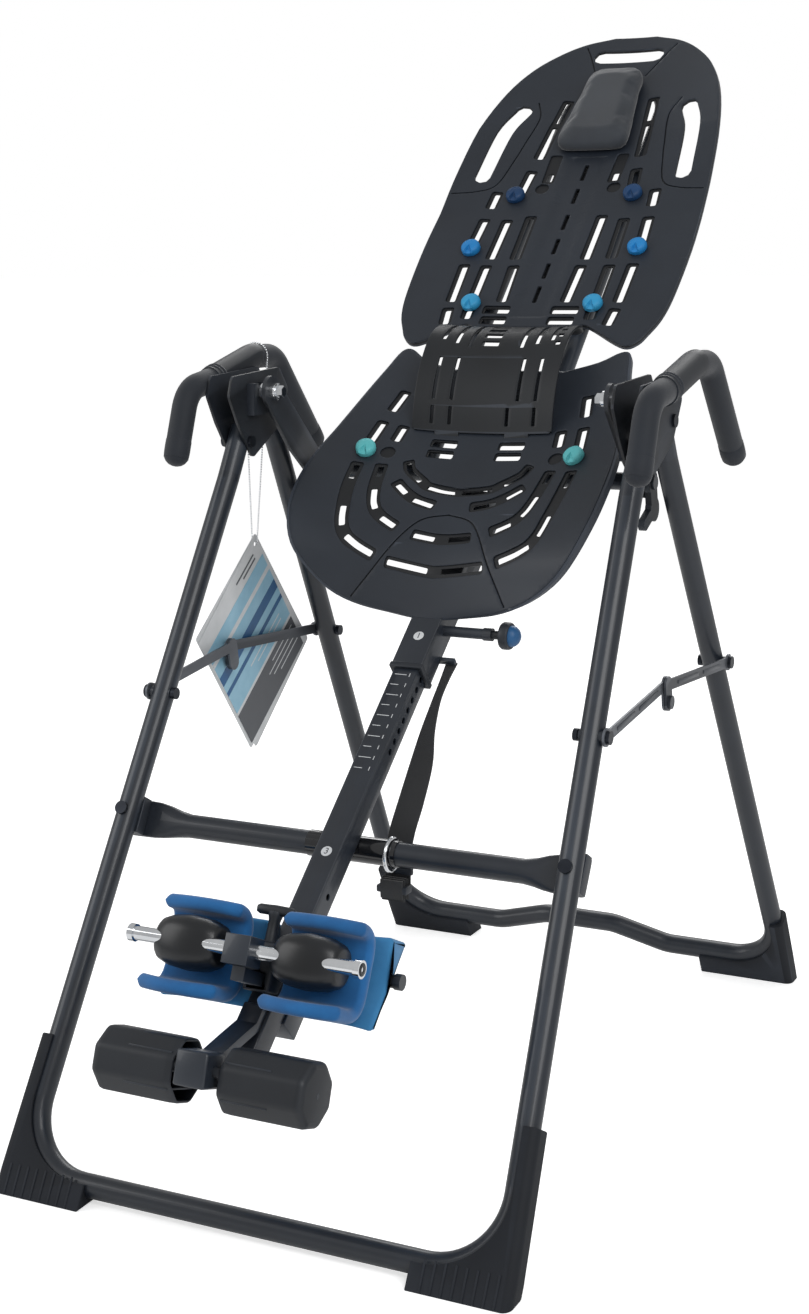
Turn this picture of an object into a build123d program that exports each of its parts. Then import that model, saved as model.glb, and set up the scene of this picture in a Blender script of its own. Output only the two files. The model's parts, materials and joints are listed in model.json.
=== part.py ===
from build123d import *
from math import acos, atan2, cos, degrees, hypot, radians, sin
import os

# Inversion table in millimetres. +Z is up, the user lies with the head towards +Y, and the
# origin is on the floor under the middle of the table. Lengths named _Y are measured from the
# table's pivot axis, and those named _Z from the floor.

# ---- table pivot and the tilts of the moving frame ----
PIVOT_Y = -60.0
PIVOT_Z = 988.0
BED_TILT = 43.5
SHAFT_TILT = 39.54
SHAFT_DROP = 236.0          # pivot axis down to the middle of the shaft, square to the shaft
ANKLE_TILT = 24.5           # ankle lock to the shaft
PLATFORM_TILT = 70.1
RUN_GAP = 0.05              # radial clearance of a turning or sliding fit
SEAT_GAP = 0.3              # clearance between neighbours that move past each other
EXTRA = 400.0               # overlength of a cutting tool

# ---- stands ----
TUBE_R = 15.5
TUBE_WALL = 1.8
LEG_TOP_X = 302.5
FRONT_HALF = 341.4
FRONT_FOOT_Y = -549.3
FRONT_BAR_Z = 20.0
FRONT_TOP_Y = -8.3
FRONT_TOP_Z = 935.0
REAR_HALF = 345.8
REAR_FOOT_Y = 572.5
REAR_BAR_Z = 40.0
FOLD_Y = 60.0
FOLD_Z = 958.0
LEG_OVERRUN = 16.0          # rear leg past its hinge
LEG_STRAIGHT = 78.0         # top stretch of each leg that runs parallel to the hinge plates
KNEE_BEND = 300.0
FRONT_BEND = 95.0
REAR_BEND = 80.0
HUMP_RISE = 32.0
HUMP_FLAT_X = 60.0
HUMP_END_X = 150.0
HUMP_BEND = 60.0

# ---- feet ----
WIDTH_OVER_FEET = 726.0
FOOT_WALL = 5.0
FOOT_INNER_X = 230.0
FRONT_FOOT_UP = 176.0
REAR_FOOT_INNER_X = 211.0
REAR_FOOT_UP = 98.0
FOOT_CORNER = 12.0
FOOT_LEAN_ROOM = 60.0       # how far a foot is drawn below its bar before the floor trims it

# ---- crossbar of the front stand ----
CROSSBAR_R = 16.0
CROSSBAR_WALL = 1.8
CROSSBAR_UP = 488.0         # along the front leg from its foot
CROSSBAR_TUBE_X = 262.0
CROSSBAR_TAB_X = 334.0
TAB_T = 11.0
TAB_H = 50.0
SADDLE_T = 12.0
SADDLE_W = 30.0
SLEEVE_WALL = 1.5
WEAR_FROM_X = -60.0
WEAR_TO_X = 70.0
RING_WIRE_R = 2.5
RING_INNER_R = 19.5
RING_X = 60.0

# ---- hinge plates, covers and pivot seats ----
PLATE_T = 4.0
PLATE_OUTLINE = [(-62, 1012), (70, 1018), (95, 985), (60, 930), (-12, 893), (-50, 945), (-72, 985)]
PLATE_CORNER = 9.0
SEAT_T = 11.0
SEAT_HALF_Y = 24.0
SEAT_BELOW = 33.0
SEAT_ABOVE = 12.0
BOLT_R = 5.0
HEAD_R = 9.0
HEAD_T = 5.0

# ---- handle bars ----
HANDLE_X = 340.0
HANDLE_R = 12.5
HANDLE_WALL = 2.0
HANDLE_PATH = [(-124, 905), (-90, 995), (-25, 1004), (88, 1031), (150, 1030), (271, 893)]
HANDLE_BENDS = [45, 60, 90, 45]
GRIP_R = 17.5
GRIP_INSET = 3.0
COVER_R = 19.5
CAP_T = 3.0

# ---- spreader arms ----
ARM_T = 3.0
ARM_GAP = 1.0
ARM_X = 334.0
ARM_HALF_H = 7.5
ARM_END_R = 12.0
ARM_FRONT = (-216, 589)
ARM_REAR = (268, 593)
ARM_MEET = (3, 612)
ARM_PIN = (7, 588)
SLEEVE_R = 8.0              # crush sleeve through a leg

# ---- table: pivot arms, pins, cross bar and U frame ----
PIN_R = 9.25
PIN_RIM_R = 12.0
PIN_RIM_T = 4.0
ARM_PLATE_X = 254.0
ARM_PLATE_T = 6.0
ARM_LUG_R = 22.0
ARM_BULGE = (53, 908)
BAR_R = 12.5
BAR_WALL = 2.0
BAR_Y = 130.0
BAR_Z = 866.0
RAIL_X = 80.0
RAIL_R = 12.0
RAIL_BEND = 79.0
STUB_R = 8.0
RAIL_DEPTH = 179.0          # pivot axis down to the rails, square to the bed
RAIL_TOP = 850.0
LOCK_X = 262.0
LOCK_T = 9.0
LOCK_R = 17.0
LOCK_DISC = (138, 828)
LOCK_TIP = (102, 811)

# ---- backrest ----
BACK_DEPTH = 155.0          # pivot axis down to the lying surface
SHELL_T = 8.0
BACK_OUTLINE = [(244, 172), (267, 195), (315, 214), (443, 220), (602, 213), (700, 202),
                (787, 181), (848, 153), (892, 117), (920, 80), (936, 36)]
BACK_BOTTOM = (284, 100)    # up the bed and half width where the lower edge turns level
TROUGH = [(225, 3), (520, 5), (700, 30), (945, 38)]    # up the bed and rise of the edges
TROUGH_HALF = 240.0
SLOT_TOP = (889, 60, 15)    # grab slot: up the bed, half length, half width
HAND_SLOT = [(140, 752), (158, 700), (168, 600)]
HAND_SLOT_W = 26.0

# ---- seat, lumbar bridge, pillow and pressure nodes ----
SEAT_T_SHELL = 7.0
# each section of the seat: up the bed, out from the pivot axis, half width, rise of the edges, slope
SEAT_SECTIONS = [(228, -157.5, 178, 4, 0), (190, -157.5, 190, 8, 0), (150, -157.5, 200, 12, 0), (60, -157.5, 216, 24, 0),
                 (0, -157.0, 227, 34, -4), (-60, -152.5, 231, 40, 2), (-111, -153.6, 226, 42, 12), (-150, -160, 206, 36, 26),
                 (-186, -175, 170, 20, 38), (-214, -189, 96, 6, 50)]
LUMBAR_HALF = 110.0
LUMBAR_T = 4.0
# its lengthwise arch: up the bed, and height over the lying surface
LUMBAR_ARCH = [(67, 1), (100, 24), (140, 43), (180, 52), (212, 51), (240, 38), (257, 20), (264, 1)]
PILLOW_FROM = 654.0
PILLOW_TO = 841.0
PILLOW_HALF_LOW = 67.0
PILLOW_HALF_HIGH = 47.0
PILLOW_T = 36.0
NODE_R = 15.0
NODE_H = 14.0
BACK_NODES = [(98, 558), (137, 441), (99, 324)]
SEAT_NODE = (163, 16)

# ---- shaft sleeve ----
SHAFT_W = 36.4
SHAFT_WALL = 2.0
SLIDE_GAP = 0.4
SLEEVE_WIDTH = 46.0
SLEEVE_DEPTH = 44.0
SLEEVE_FROM = -298.0
SLEEVE_TO = 25.0
RIM_T = 8.0
RIM_PROUD = 1.5
BRACKET_T = 5.0
BRACKET_FROM = -24.0

# ---- height pin ----
HEIGHT_PIN_AT = -220.4
HEIGHT_ROD_R = 4.0
HOUSING_R = 7.5
HOUSING_TO_X = 82.0
COLLAR_R = 9.0
COLLAR_TO_X = 95.0
NECK_R = 6.0
NECK_TO_X = 108.0
KNOB_R = 19.0
KNOB_TO_X = 122.0
DOME_H = 14.0

# ---- shaft ----
SHAFT_FROM = -902.0
SHAFT_TO = -150.0
HOLE_R = 4.6
HOLE_PITCH = 17.7
HOLE_COUNT = 13
STORE_HOLE_AT = -665.0
ANKLE_AT = -767.0
BRACKET_LOW_AT = -840.0
BRACKET_HIGH_AT = -806.0
BRACKET_DROP = 58.0         # under the middle of the shaft
BRACKET_HALF_X = 21.0

# ---- ankle lock, in its own frame: up along the shins, out towards the front ----
HEEL_ROD_R = 8.5
HEEL_ROD_HALF = 154.0
HEEL_OUT = 2.0
HEEL_CAP_R = 10.0
HEEL_CAP_T = 9.0
HEEL_CUP_HALF = 150.0
HEEL_SECTION = [(48, -19), (48, 28), (30, 22), (8, 16), (-14, 18), (-40, 32), (-62, 37.6), (-62, 29)]
LOCK_HALF_X = 19.0
LOCK_SECTION = [(18, 12), (18, 66), (-42, 66), (-42, 39.5)]
RAIL_LOW = -36.0
RAIL_HIGH = -20.0
RAIL_BACK = -50.0
RAIL_FRONT = 115.0
RAIL_HALF_X = 9.0
HUB_HALF_X = 17.5
HUB_BACK = 95.0
HUB_FRONT = 131.0
HUB_HALF_H = 18.0
ANKLE_ROD_R = 9.0
ANKLE_ROD_OUT = 112.0
ANKLE_ROD_UP = 1.0
ANKLE_ROD_HALF = 152.0
ROD_CAP_T = 8.0
SHELL_X = 82.0
SHELL_HALF = 43.0
SHELL_OUT = 92.0
SHELL_R = 35.0
SHELL_END_R = 25.0
CUP_FROM_X = 29.0
CUP_TO_X = 140.0
CUP_OUTER = [(55, 87), (55, 62), (38, 39), (-40, 39), (-60, 60), (-60, 124)]
CUP_INNER = [(-47, 124), (-46, 70), (-34, 57.5), (30, 57.5), (41, 68), (42, 87)]
T_STEM_R = 9.5
T_STEM_OUT = 50.0
T_STEM_TOP = 58.0
T_ROD_R = 4.0
T_BAR_HALF = 26.0
T_BAR_LOW = 52.0
T_BAR_HIGH = 65.0

# ---- foot platform ----
PLATFORM_Y = -648.0
PLATFORM_Z = 258.0
PLATFORM_HUB = 42.0
PLATFORM_ARM_W = 28.0
PLATFORM_ARM_T = 12.0
PAD_FROM_X = 31.0
PAD_TO_X = 143.0
PAD_MIDDLE = (-8.4, -29.6)  # octagon's middle from the axle, in the platform's frame
PAD_HALF = 38.5
PAD_WALL = 4.0
AXLE_R = 6.0

# ---- hanging tag ----
TAG_X = 350.0
TAG_T = 1.2
TAG_MIDDLE = (88.0, 603.0)
TAG_W = 220.0
TAG_H = 245.0
TAG_TURN = 217.0
TAG_HOLE_R = 3.5
TAG_HOLE_IN = 12.0
CHAIN_R = 1.6
CHAIN_Y = 100.0
CHAIN_LOW_Z = 751.4
CHAIN_SPREAD = 4.0
CHAIN_GAP = 0.8             # radial clearance of the chain's loop round the grip

# ---- tether strap ----
STRAP_W = 38.0
STRAP_T = 2.4
STRAP_X = 55.0
STRAP_PATH = [(-30.5, 619), (-80, 580), (-150, 512), (-238, 432), (-238, 352)]
STRAP_BENDS = [60, 90, 50]
LUG_AT = -254.0
LUG_T = 6.0
BUNDLE = ((-262, 352), (-240, 380), -20, 36)


# ---- frames ----
def tilted(y, z, tilt):
    """Frame across the width: local x rises at tilt degrees from +Y, local y is square to it."""
    rise = radians(tilt)
    return Plane(origin=(0, PIVOT_Y + y, z), x_dir=(0, cos(rise), sin(rise)), z_dir=(1, 0, 0))


def place(frame, along, out):
    """The y (from the pivot) and z of a point that a tilted frame gives as along and out."""
    spot = frame.from_local_coords(Vector(along, out, 0))
    return spot.Y - PIVOT_Y, spot.Z


SIDE = tilted(0, 0, 0)
BED = tilted(0, PIVOT_Z, BED_TILT)
SHAFT = tilted(
    SHAFT_DROP * sin(radians(SHAFT_TILT)), PIVOT_Z - SHAFT_DROP * cos(radians(SHAFT_TILT)), SHAFT_TILT
)
ANKLE = tilted(*place(SHAFT, ANKLE_AT, 0), SHAFT_TILT + ANKLE_TILT)
PLATFORM = tilted(PLATFORM_Y, PLATFORM_Z, PLATFORM_TILT)
FRONT_LEAN = degrees(atan2(FRONT_TOP_Z - FRONT_BAR_Z, FRONT_TOP_Y - FRONT_FOOT_Y))
FRONT = tilted(FRONT_FOOT_Y, FRONT_BAR_Z, FRONT_LEAN)
FRONT_LENGTH = hypot(FRONT_TOP_Z - FRONT_BAR_Z, FRONT_TOP_Y - FRONT_FOOT_Y)
REAR_LEAN = 180 - degrees(atan2(FOLD_Z - REAR_BAR_Z, REAR_FOOT_Y - FOLD_Y))
REAR = tilted(REAR_FOOT_Y, REAR_BAR_Z, REAR_LEAN)
REAR_LENGTH = hypot(FOLD_Z - REAR_BAR_Z, REAR_FOOT_Y - FOLD_Y) + LEG_OVERRUN
FRONT_SHEET = Plane(origin=FRONT.origin, x_dir=(1, 0, 0), z_dir=FRONT.y_dir)
REAR_SHEET = Plane(origin=REAR.origin, x_dir=(1, 0, 0), z_dir=REAR.y_dir)


# ---- helpers: each adds to the part that is being built ----
def rod(frame, centre, radius, x_from, x_to, mode=Mode.ADD):
    """Round bar across the width, centred on a point of a frame."""
    with BuildSketch(frame.offset(x_from)) as profile:
        with Locations(centre):
            Circle(radius)
    extrude(profile.sketch, amount=x_to - x_from, mode=mode)


def slab(frame, low, high, x_from, x_to, mode=Mode.ADD):
    """Block between two corners of a frame, from x_from to x_to across the width."""
    with BuildSketch(frame.offset(x_from)) as profile:
        with Locations(((low[0] + high[0]) / 2, (low[1] + high[1]) / 2)):
            Rectangle(high[0] - low[0], high[1] - low[1])
    extrude(profile.sketch, amount=x_to - x_from, mode=mode)


def sheet(frame, corners, x_from, x_to, corner=0.0, mode=Mode.ADD):
    """Plate with a cornered outline in a frame, from x_from to x_to across the width."""
    with BuildSketch(frame.offset(x_from)) as profile:
        Polygon(*corners, align=None)
        if corner:
            fillet(profile.vertices(), corner)
    extrude(profile.sketch, amount=x_to - x_from, mode=mode)


def bent_bar(plane, points, bends, radius, bore=0.0, mode=Mode.ADD):
    """Round bar or tube along straight runs joined by arcs, drawn in a plane."""
    with BuildLine(plane) as route:
        FilletPolyline(*points, radius=bends)
    with BuildSketch(Plane(origin=route.line @ 0, z_dir=route.line % 0)) as profile:
        Circle(radius)
        if bore:
            Circle(bore, mode=Mode.SUBTRACT)
    sweep(profile.sketch, path=route.line, mode=mode)


def save(piece, name):
    piece.part.label = name
    export_step(piece.part, f"parts/{name}.step")


os.makedirs("parts", exist_ok=True)
SIDES = (("left", -1), ("right", 1))


def leg_x(half, length, up):
    """Distance of a leg's centre line from the middle, at a distance up from its foot."""
    knee = length - LEG_STRAIGHT
    return half - (half - LEG_TOP_X) * min(up / knee, 1)


def stand_path(half, length):
    """Right leg from the top down to the corner at the foot."""
    return [(LEG_TOP_X, length), (LEG_TOP_X, length - LEG_STRAIGHT), (half, 0)]


def mirrored(points):
    return [(-x, up) for x, up in reversed(points)]


front_path = stand_path(FRONT_HALF, FRONT_LENGTH)
front_bends = [KNEE_BEND, FRONT_BEND]
rear_path = stand_path(REAR_HALF, REAR_LENGTH) + [(HUMP_END_X, 0), (HUMP_FLAT_X, HUMP_RISE)]
rear_bends = [KNEE_BEND, REAR_BEND, HUMP_BEND, HUMP_BEND]
arm_front_up = FRONT.to_local_coords(Vector(0, PIVOT_Y + ARM_FRONT[0], ARM_FRONT[1])).X
arm_rear_up = REAR.to_local_coords(Vector(0, PIVOT_Y + ARM_REAR[0], ARM_REAR[1])).X
front_arm_leg_x = leg_x(FRONT_HALF, FRONT_LENGTH, arm_front_up)
rear_arm_leg_x = leg_x(REAR_HALF, REAR_LENGTH, arm_rear_up)
crossbar_leg_x = leg_x(FRONT_HALF, FRONT_LENGTH, CROSSBAR_UP)
crossbar_out = -(TUBE_R + SADDLE_T + CROSSBAR_R)
crossbar_at = (CROSSBAR_UP, crossbar_out)
plate_x = LEG_TOP_X - TUBE_R - SEAT_GAP - PLATE_T
cover_x = LEG_TOP_X + TUBE_R + SEAT_GAP
front_bolt_y, front_bolt_z = place(FRONT, FRONT_LENGTH - 20, 0)

# ---- front stand ----
with BuildPart() as front_frame:
    bent_bar(FRONT_SHEET, front_path + mirrored(front_path), front_bends + front_bends[::-1],
             TUBE_R, TUBE_R - TUBE_WALL)
    for _, side in SIDES:
        rod(SIDE, ARM_FRONT, SLEEVE_R, side * (front_arm_leg_x - TUBE_R + TUBE_WALL / 2),
            side * (ARM_X - SEAT_GAP))
        rod(SIDE, ARM_FRONT, BOLT_R + RUN_GAP, side * (front_arm_leg_x - EXTRA / 4),
            side * (front_arm_leg_x + EXTRA / 4), Mode.SUBTRACT)
        rod(SIDE, (front_bolt_y, front_bolt_z), BOLT_R + RUN_GAP, side * (LEG_TOP_X - EXTRA / 4),
            side * (LEG_TOP_X + EXTRA / 4), Mode.SUBTRACT)
        with BuildSketch(FRONT_SHEET.offset(-EXTRA / 4)) as bolt_hole:
            with Locations((side * crossbar_leg_x, CROSSBAR_UP)):
                Circle(BOLT_R + RUN_GAP)
        extrude(bolt_hole.sketch, amount=EXTRA / 2, mode=Mode.SUBTRACT)
save(front_frame, "front_frame")

foot_r = TUBE_R + FOOT_WALL


def boot(stand, side, top, half, inner_x, bend):
    """Rubber foot that cradles the outside of a stand's bottom bend and squares its corner off to the floor."""
    corner_path = [(side * x, up) for x, up in (top, (half, 0), (inner_x, 0))]
    with BuildSketch(stand.offset(-foot_r)) as boot_outline:
        with BuildLine():
            inner = FilletPolyline(*corner_path, radius=bend)
            Polyline(inner @ 1, (side * inner_x, -FOOT_LEAN_ROOM), (side * WIDTH_OVER_FEET / 2, -FOOT_LEAN_ROOM),
                     (side * WIDTH_OVER_FEET / 2, 0), (side * (top[0] + foot_r), top[1]), inner @ 0)
        make_face()
    extrude(boot_outline.sketch, amount=foot_r * 2)
    upright = [edge for edge in edges().filter_by(GeomType.LINE) if abs(edge.center().X) > half
               and edge.length > FOOT_LEAN_ROOM]
    fillet(upright, FOOT_CORNER)
    split(bisect_by=Plane.XY, keep=Keep.TOP)
    bent_bar(stand, corner_path, bend, TUBE_R, mode=Mode.SUBTRACT)


for side_name, side in SIDES:
    with BuildPart() as front_foot:
        foot_top = (leg_x(FRONT_HALF, FRONT_LENGTH, FRONT_FOOT_UP), FRONT_FOOT_UP)
        boot(FRONT_SHEET, side, foot_top, FRONT_HALF, FOOT_INNER_X, FRONT_BEND)
    save(front_foot, f"front_foot_{side_name}")

# ---- crossbar, its spacers, wear sleeve and ring ----
tab_out = (crossbar_out + CROSSBAR_R - TAB_T, crossbar_out + CROSSBAR_R)
with BuildPart() as crossbar:
    rod(FRONT, crossbar_at, CROSSBAR_R, -CROSSBAR_TUBE_X, CROSSBAR_TUBE_X)
    rod(FRONT, crossbar_at, CROSSBAR_R - CROSSBAR_WALL, -CROSSBAR_TUBE_X, CROSSBAR_TUBE_X, Mode.SUBTRACT)
    for _, side in SIDES:
        slab(FRONT, (CROSSBAR_UP - TAB_H / 2, tab_out[0]), (CROSSBAR_UP + TAB_H / 2, tab_out[1]),
             side * (CROSSBAR_TUBE_X - TAB_T), side * CROSSBAR_TAB_X)
        with BuildSketch(FRONT_SHEET.offset(-EXTRA / 4)) as bolt_hole:
            with Locations((side * crossbar_leg_x, CROSSBAR_UP)):
                Circle(BOLT_R + RUN_GAP)
        extrude(bolt_hole.sketch, amount=EXTRA / 2, mode=Mode.SUBTRACT)
save(crossbar, "crossbar")

with BuildPart() as crossbar_saddles:
    for _, side in SIDES:
        slab(FRONT, (CROSSBAR_UP - TAB_H / 2, tab_out[1]), (CROSSBAR_UP + TAB_H / 2, tab_out[1] + SADDLE_T + 6),
             side * (crossbar_leg_x - SADDLE_W / 2), side * (crossbar_leg_x + SADDLE_W / 2))
    bent_bar(FRONT_SHEET, front_path + mirrored(front_path), front_bends + front_bends[::-1],
             TUBE_R, mode=Mode.SUBTRACT)
    for _, side in SIDES:
        with BuildSketch(FRONT_SHEET.offset(-EXTRA / 4)) as bolt_hole:
            with Locations((side * crossbar_leg_x, CROSSBAR_UP)):
                Circle(BOLT_R + RUN_GAP)
        extrude(bolt_hole.sketch, amount=EXTRA / 2, mode=Mode.SUBTRACT)
save(crossbar_saddles, "crossbar_saddles")

wear_r = CROSSBAR_R + SLEEVE_WALL
with BuildPart() as crossbar_sleeve:
    rod(FRONT, crossbar_at, wear_r, WEAR_FROM_X, WEAR_TO_X)
    rod(FRONT, crossbar_at, CROSSBAR_R, WEAR_FROM_X, WEAR_TO_X, Mode.SUBTRACT)
save(crossbar_sleeve, "crossbar_sleeve")

ring_y, ring_z = place(FRONT, *crossbar_at)
with BuildPart() as tether_ring:
    ring_middle = (RING_X, PIVOT_Y + ring_y, ring_z - (RING_INNER_R - wear_r) + SEAT_GAP)
    with Locations(Location(Plane(origin=ring_middle, z_dir=(1, 0, 0)))):
        Torus(RING_INNER_R + RING_WIRE_R, RING_WIRE_R)
save(tether_ring, "tether_ring")

# ---- hinge plates, covers, pivot seats and bolts ----
for side_name, side in SIDES:
    with BuildPart() as hinge_plate:
        sheet(SIDE, PLATE_OUTLINE, side * plate_x, side * (plate_x + PLATE_T), PLATE_CORNER)
        for spot in ((FOLD_Y, FOLD_Z), (front_bolt_y, front_bolt_z)):
            rod(SIDE, spot, BOLT_R + RUN_GAP, side * (plate_x - PLATE_T), side * (plate_x + EXTRA), Mode.SUBTRACT)
    save(hinge_plate, f"hinge_plate_{side_name}")
    with BuildPart() as hinge_cover:
        sheet(SIDE, PLATE_OUTLINE, side * cover_x, side * (cover_x + PLATE_T), PLATE_CORNER)
        for spot in ((FOLD_Y, FOLD_Z), (front_bolt_y, front_bolt_z)):
            rod(SIDE, spot, BOLT_R + RUN_GAP, side * (cover_x - PLATE_T), side * (cover_x + EXTRA), Mode.SUBTRACT)
    save(hinge_cover, f"hinge_cover_{side_name}")

with BuildPart() as pivot_seats:
    for _, side in SIDES:
        slab(SIDE, (-SEAT_HALF_Y, PIVOT_Z - SEAT_BELOW), (SEAT_HALF_Y, PIVOT_Z + SEAT_ABOVE),
             side * (plate_x - SEAT_T), side * plate_x)
        slab(SIDE, (-PIN_R - RUN_GAP, PIVOT_Z), (PIN_R + RUN_GAP, PIVOT_Z + EXTRA),
             side * (plate_x - EXTRA), side * plate_x, Mode.SUBTRACT)
        rod(SIDE, (0, PIVOT_Z), PIN_R + RUN_GAP, side * (plate_x - EXTRA), side * plate_x, Mode.SUBTRACT)
save(pivot_seats, "pivot_seats")

bolt_in_x = plate_x - 1
bolt_out_x = cover_x + PLATE_T
with BuildPart() as stand_bolts:
    for _, side in SIDES:
        for spot in ((FOLD_Y, FOLD_Z), (front_bolt_y, front_bolt_z)):
            rod(SIDE, spot, BOLT_R, side * bolt_in_x, side * bolt_out_x)
            rod(SIDE, spot, HEAD_R, side * bolt_out_x, side * (bolt_out_x + HEAD_T - 1))
            rod(SIDE, spot, HEAD_R - 1, side * (plate_x - HEAD_T), side * plate_x)
        rod(SIDE, ARM_FRONT, BOLT_R, side * (front_arm_leg_x - TUBE_R - 4), side * (ARM_X + ARM_T + SEAT_GAP))
        rod(SIDE, ARM_FRONT, HEAD_R, side * (ARM_X + ARM_T + SEAT_GAP), side * (ARM_X + ARM_T + HEAD_T))
        rod(SIDE, ARM_FRONT, HEAD_R - 1, side * (front_arm_leg_x - TUBE_R - 7), side * (front_arm_leg_x - TUBE_R - 1))
        crossbar_bolt = Plane(
            origin=FRONT_SHEET.from_local_coords(Vector(side * crossbar_leg_x, CROSSBAR_UP, 0)), z_dir=FRONT.y_dir
        )
        with BuildSketch(crossbar_bolt.offset(tab_out[0] - 3)) as shank:
            Circle(BOLT_R)
        extrude(shank.sketch, amount=TUBE_R + 1 - tab_out[0] + 3)
        with BuildSketch(crossbar_bolt.offset(TUBE_R + 0.5)) as head:
            Circle(HEAD_R)
        extrude(head.sketch, amount=HEAD_T)
        with BuildSketch(crossbar_bolt.offset(tab_out[0] - HEAD_T)) as nut:
            RegularPolygon(HEAD_R, 6)
        extrude(nut.sketch, amount=HEAD_T)
save(stand_bolts, "stand_bolts")


def link(frame, start, end, width, x_from, x_to, mode=Mode.ADD):
    """Round-ended strip from one point of a frame to another."""
    run = Vector(*end) - Vector(*start)
    with BuildSketch(frame.offset(x_from)) as profile:
        with Locations(((start[0] + end[0]) / 2, (start[1] + end[1]) / 2)):
            SlotCenterToCenter(run.length, width, rotation=degrees(atan2(run.Y, run.X)))
    extrude(profile.sketch, amount=x_to - x_from, mode=mode)


def post(frame, x, out, radius, low, high, mode=Mode.ADD):
    """Round bar that stands along the frame's own first direction."""
    foot = frame.from_local_coords(Vector(low, out, x))
    with BuildSketch(Plane(origin=foot, x_dir=(1, 0, 0), z_dir=frame.x_dir)) as profile:
        Circle(radius)
    extrude(profile.sketch, amount=high - low, mode=mode)


# ---- handle bars with foam grips and a moulded middle cover ----
front_break = PIVOT_Y + HANDLE_PATH[2][0] - GRIP_INSET * 2
rear_break = PIVOT_Y + HANDLE_PATH[3][0] + GRIP_INSET * 2
for side_name, side in SIDES:
    handle_plane = SIDE.offset(side * HANDLE_X)
    with BuildPart() as handle_bar:
        bent_bar(handle_plane, HANDLE_PATH, HANDLE_BENDS, HANDLE_R, HANDLE_R - HANDLE_WALL)
    save(handle_bar, f"handle_bar_{side_name}")

    with BuildPart() as foam_grips:
        bent_bar(handle_plane, HANDLE_PATH, HANDLE_BENDS, GRIP_R, HANDLE_R)
        slab(SIDE, (front_break - PIVOT_Y, PIVOT_Z - EXTRA), (rear_break - PIVOT_Y, PIVOT_Z + EXTRA),
             side * (HANDLE_X - EXTRA / 4), side * (HANDLE_X + EXTRA / 4), Mode.SUBTRACT)
        for tip, inner in ((HANDLE_PATH[0], HANDLE_PATH[1]), (HANDLE_PATH[-1], HANDLE_PATH[-2])):
            outward = Vector(0, tip[0] - inner[0], tip[1] - inner[1])
            tip_spot = handle_plane.from_local_coords(Vector(*tip))
            with BuildSketch(Plane(origin=tip_spot, z_dir=outward)) as end_cap:
                Circle(GRIP_R)
            extrude(end_cap.sketch, amount=CAP_T)
    save(foam_grips, f"foam_grips_{side_name}")

    with BuildPart() as handle_cover:
        bent_bar(handle_plane, HANDLE_PATH[1:5], HANDLE_BENDS[1:3], COVER_R, HANDLE_R)
        for y_from, y_to in ((-EXTRA, front_break - PIVOT_Y), (rear_break - PIVOT_Y, EXTRA)):
            slab(SIDE, (y_from, PIVOT_Z - EXTRA), (y_to, PIVOT_Z + EXTRA),
                 side * (HANDLE_X - EXTRA / 4), side * (HANDLE_X + EXTRA / 4), Mode.SUBTRACT)
        slab(SIDE, (-EXTRA, PIVOT_Z - EXTRA), (EXTRA, PIVOT_Z + EXTRA), 0, side * bolt_out_x, Mode.SUBTRACT)
    save(handle_cover, f"handle_cover_{side_name}")

# ---- rear stand ----
with BuildPart() as rear_frame:
    bent_bar(REAR_SHEET, rear_path + mirrored(rear_path), rear_bends + rear_bends[::-1],
             TUBE_R, TUBE_R - TUBE_WALL)
    for _, side in SIDES:
        rod(SIDE, ARM_REAR, SLEEVE_R, side * (rear_arm_leg_x - TUBE_R + TUBE_WALL / 2),
            side * (ARM_X + ARM_T + ARM_GAP - SEAT_GAP))
        rod(SIDE, ARM_REAR, BOLT_R + RUN_GAP, side * (rear_arm_leg_x - EXTRA / 4),
            side * (rear_arm_leg_x + EXTRA / 4), Mode.SUBTRACT)
        rod(SIDE, (FOLD_Y, FOLD_Z), BOLT_R + RUN_GAP, side * (LEG_TOP_X - EXTRA / 4),
            side * (LEG_TOP_X + EXTRA / 4), Mode.SUBTRACT)
save(rear_frame, "rear_frame")

for side_name, side in SIDES:
    with BuildPart() as rear_foot:
        foot_top = (leg_x(REAR_HALF, REAR_LENGTH, REAR_FOOT_UP), REAR_FOOT_UP)
        boot(REAR_SHEET, side, foot_top, REAR_HALF, REAR_FOOT_INNER_X, REAR_BEND)
    save(rear_foot, f"rear_foot_{side_name}")

rear_arm_x = ARM_X + ARM_T + ARM_GAP
with BuildPart() as rear_bolts:
    for _, side in SIDES:
        rod(SIDE, ARM_REAR, BOLT_R, side * (rear_arm_leg_x - TUBE_R - 4), side * (rear_arm_x + ARM_T + SEAT_GAP))
        rod(SIDE, ARM_REAR, HEAD_R, side * (rear_arm_x + ARM_T + SEAT_GAP), side * (rear_arm_x + ARM_T + HEAD_T))
        rod(SIDE, ARM_REAR, HEAD_R - 1, side * (rear_arm_leg_x - TUBE_R - 7), side * (rear_arm_leg_x - TUBE_R - 1))
save(rear_bolts, "rear_bolts")

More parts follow.
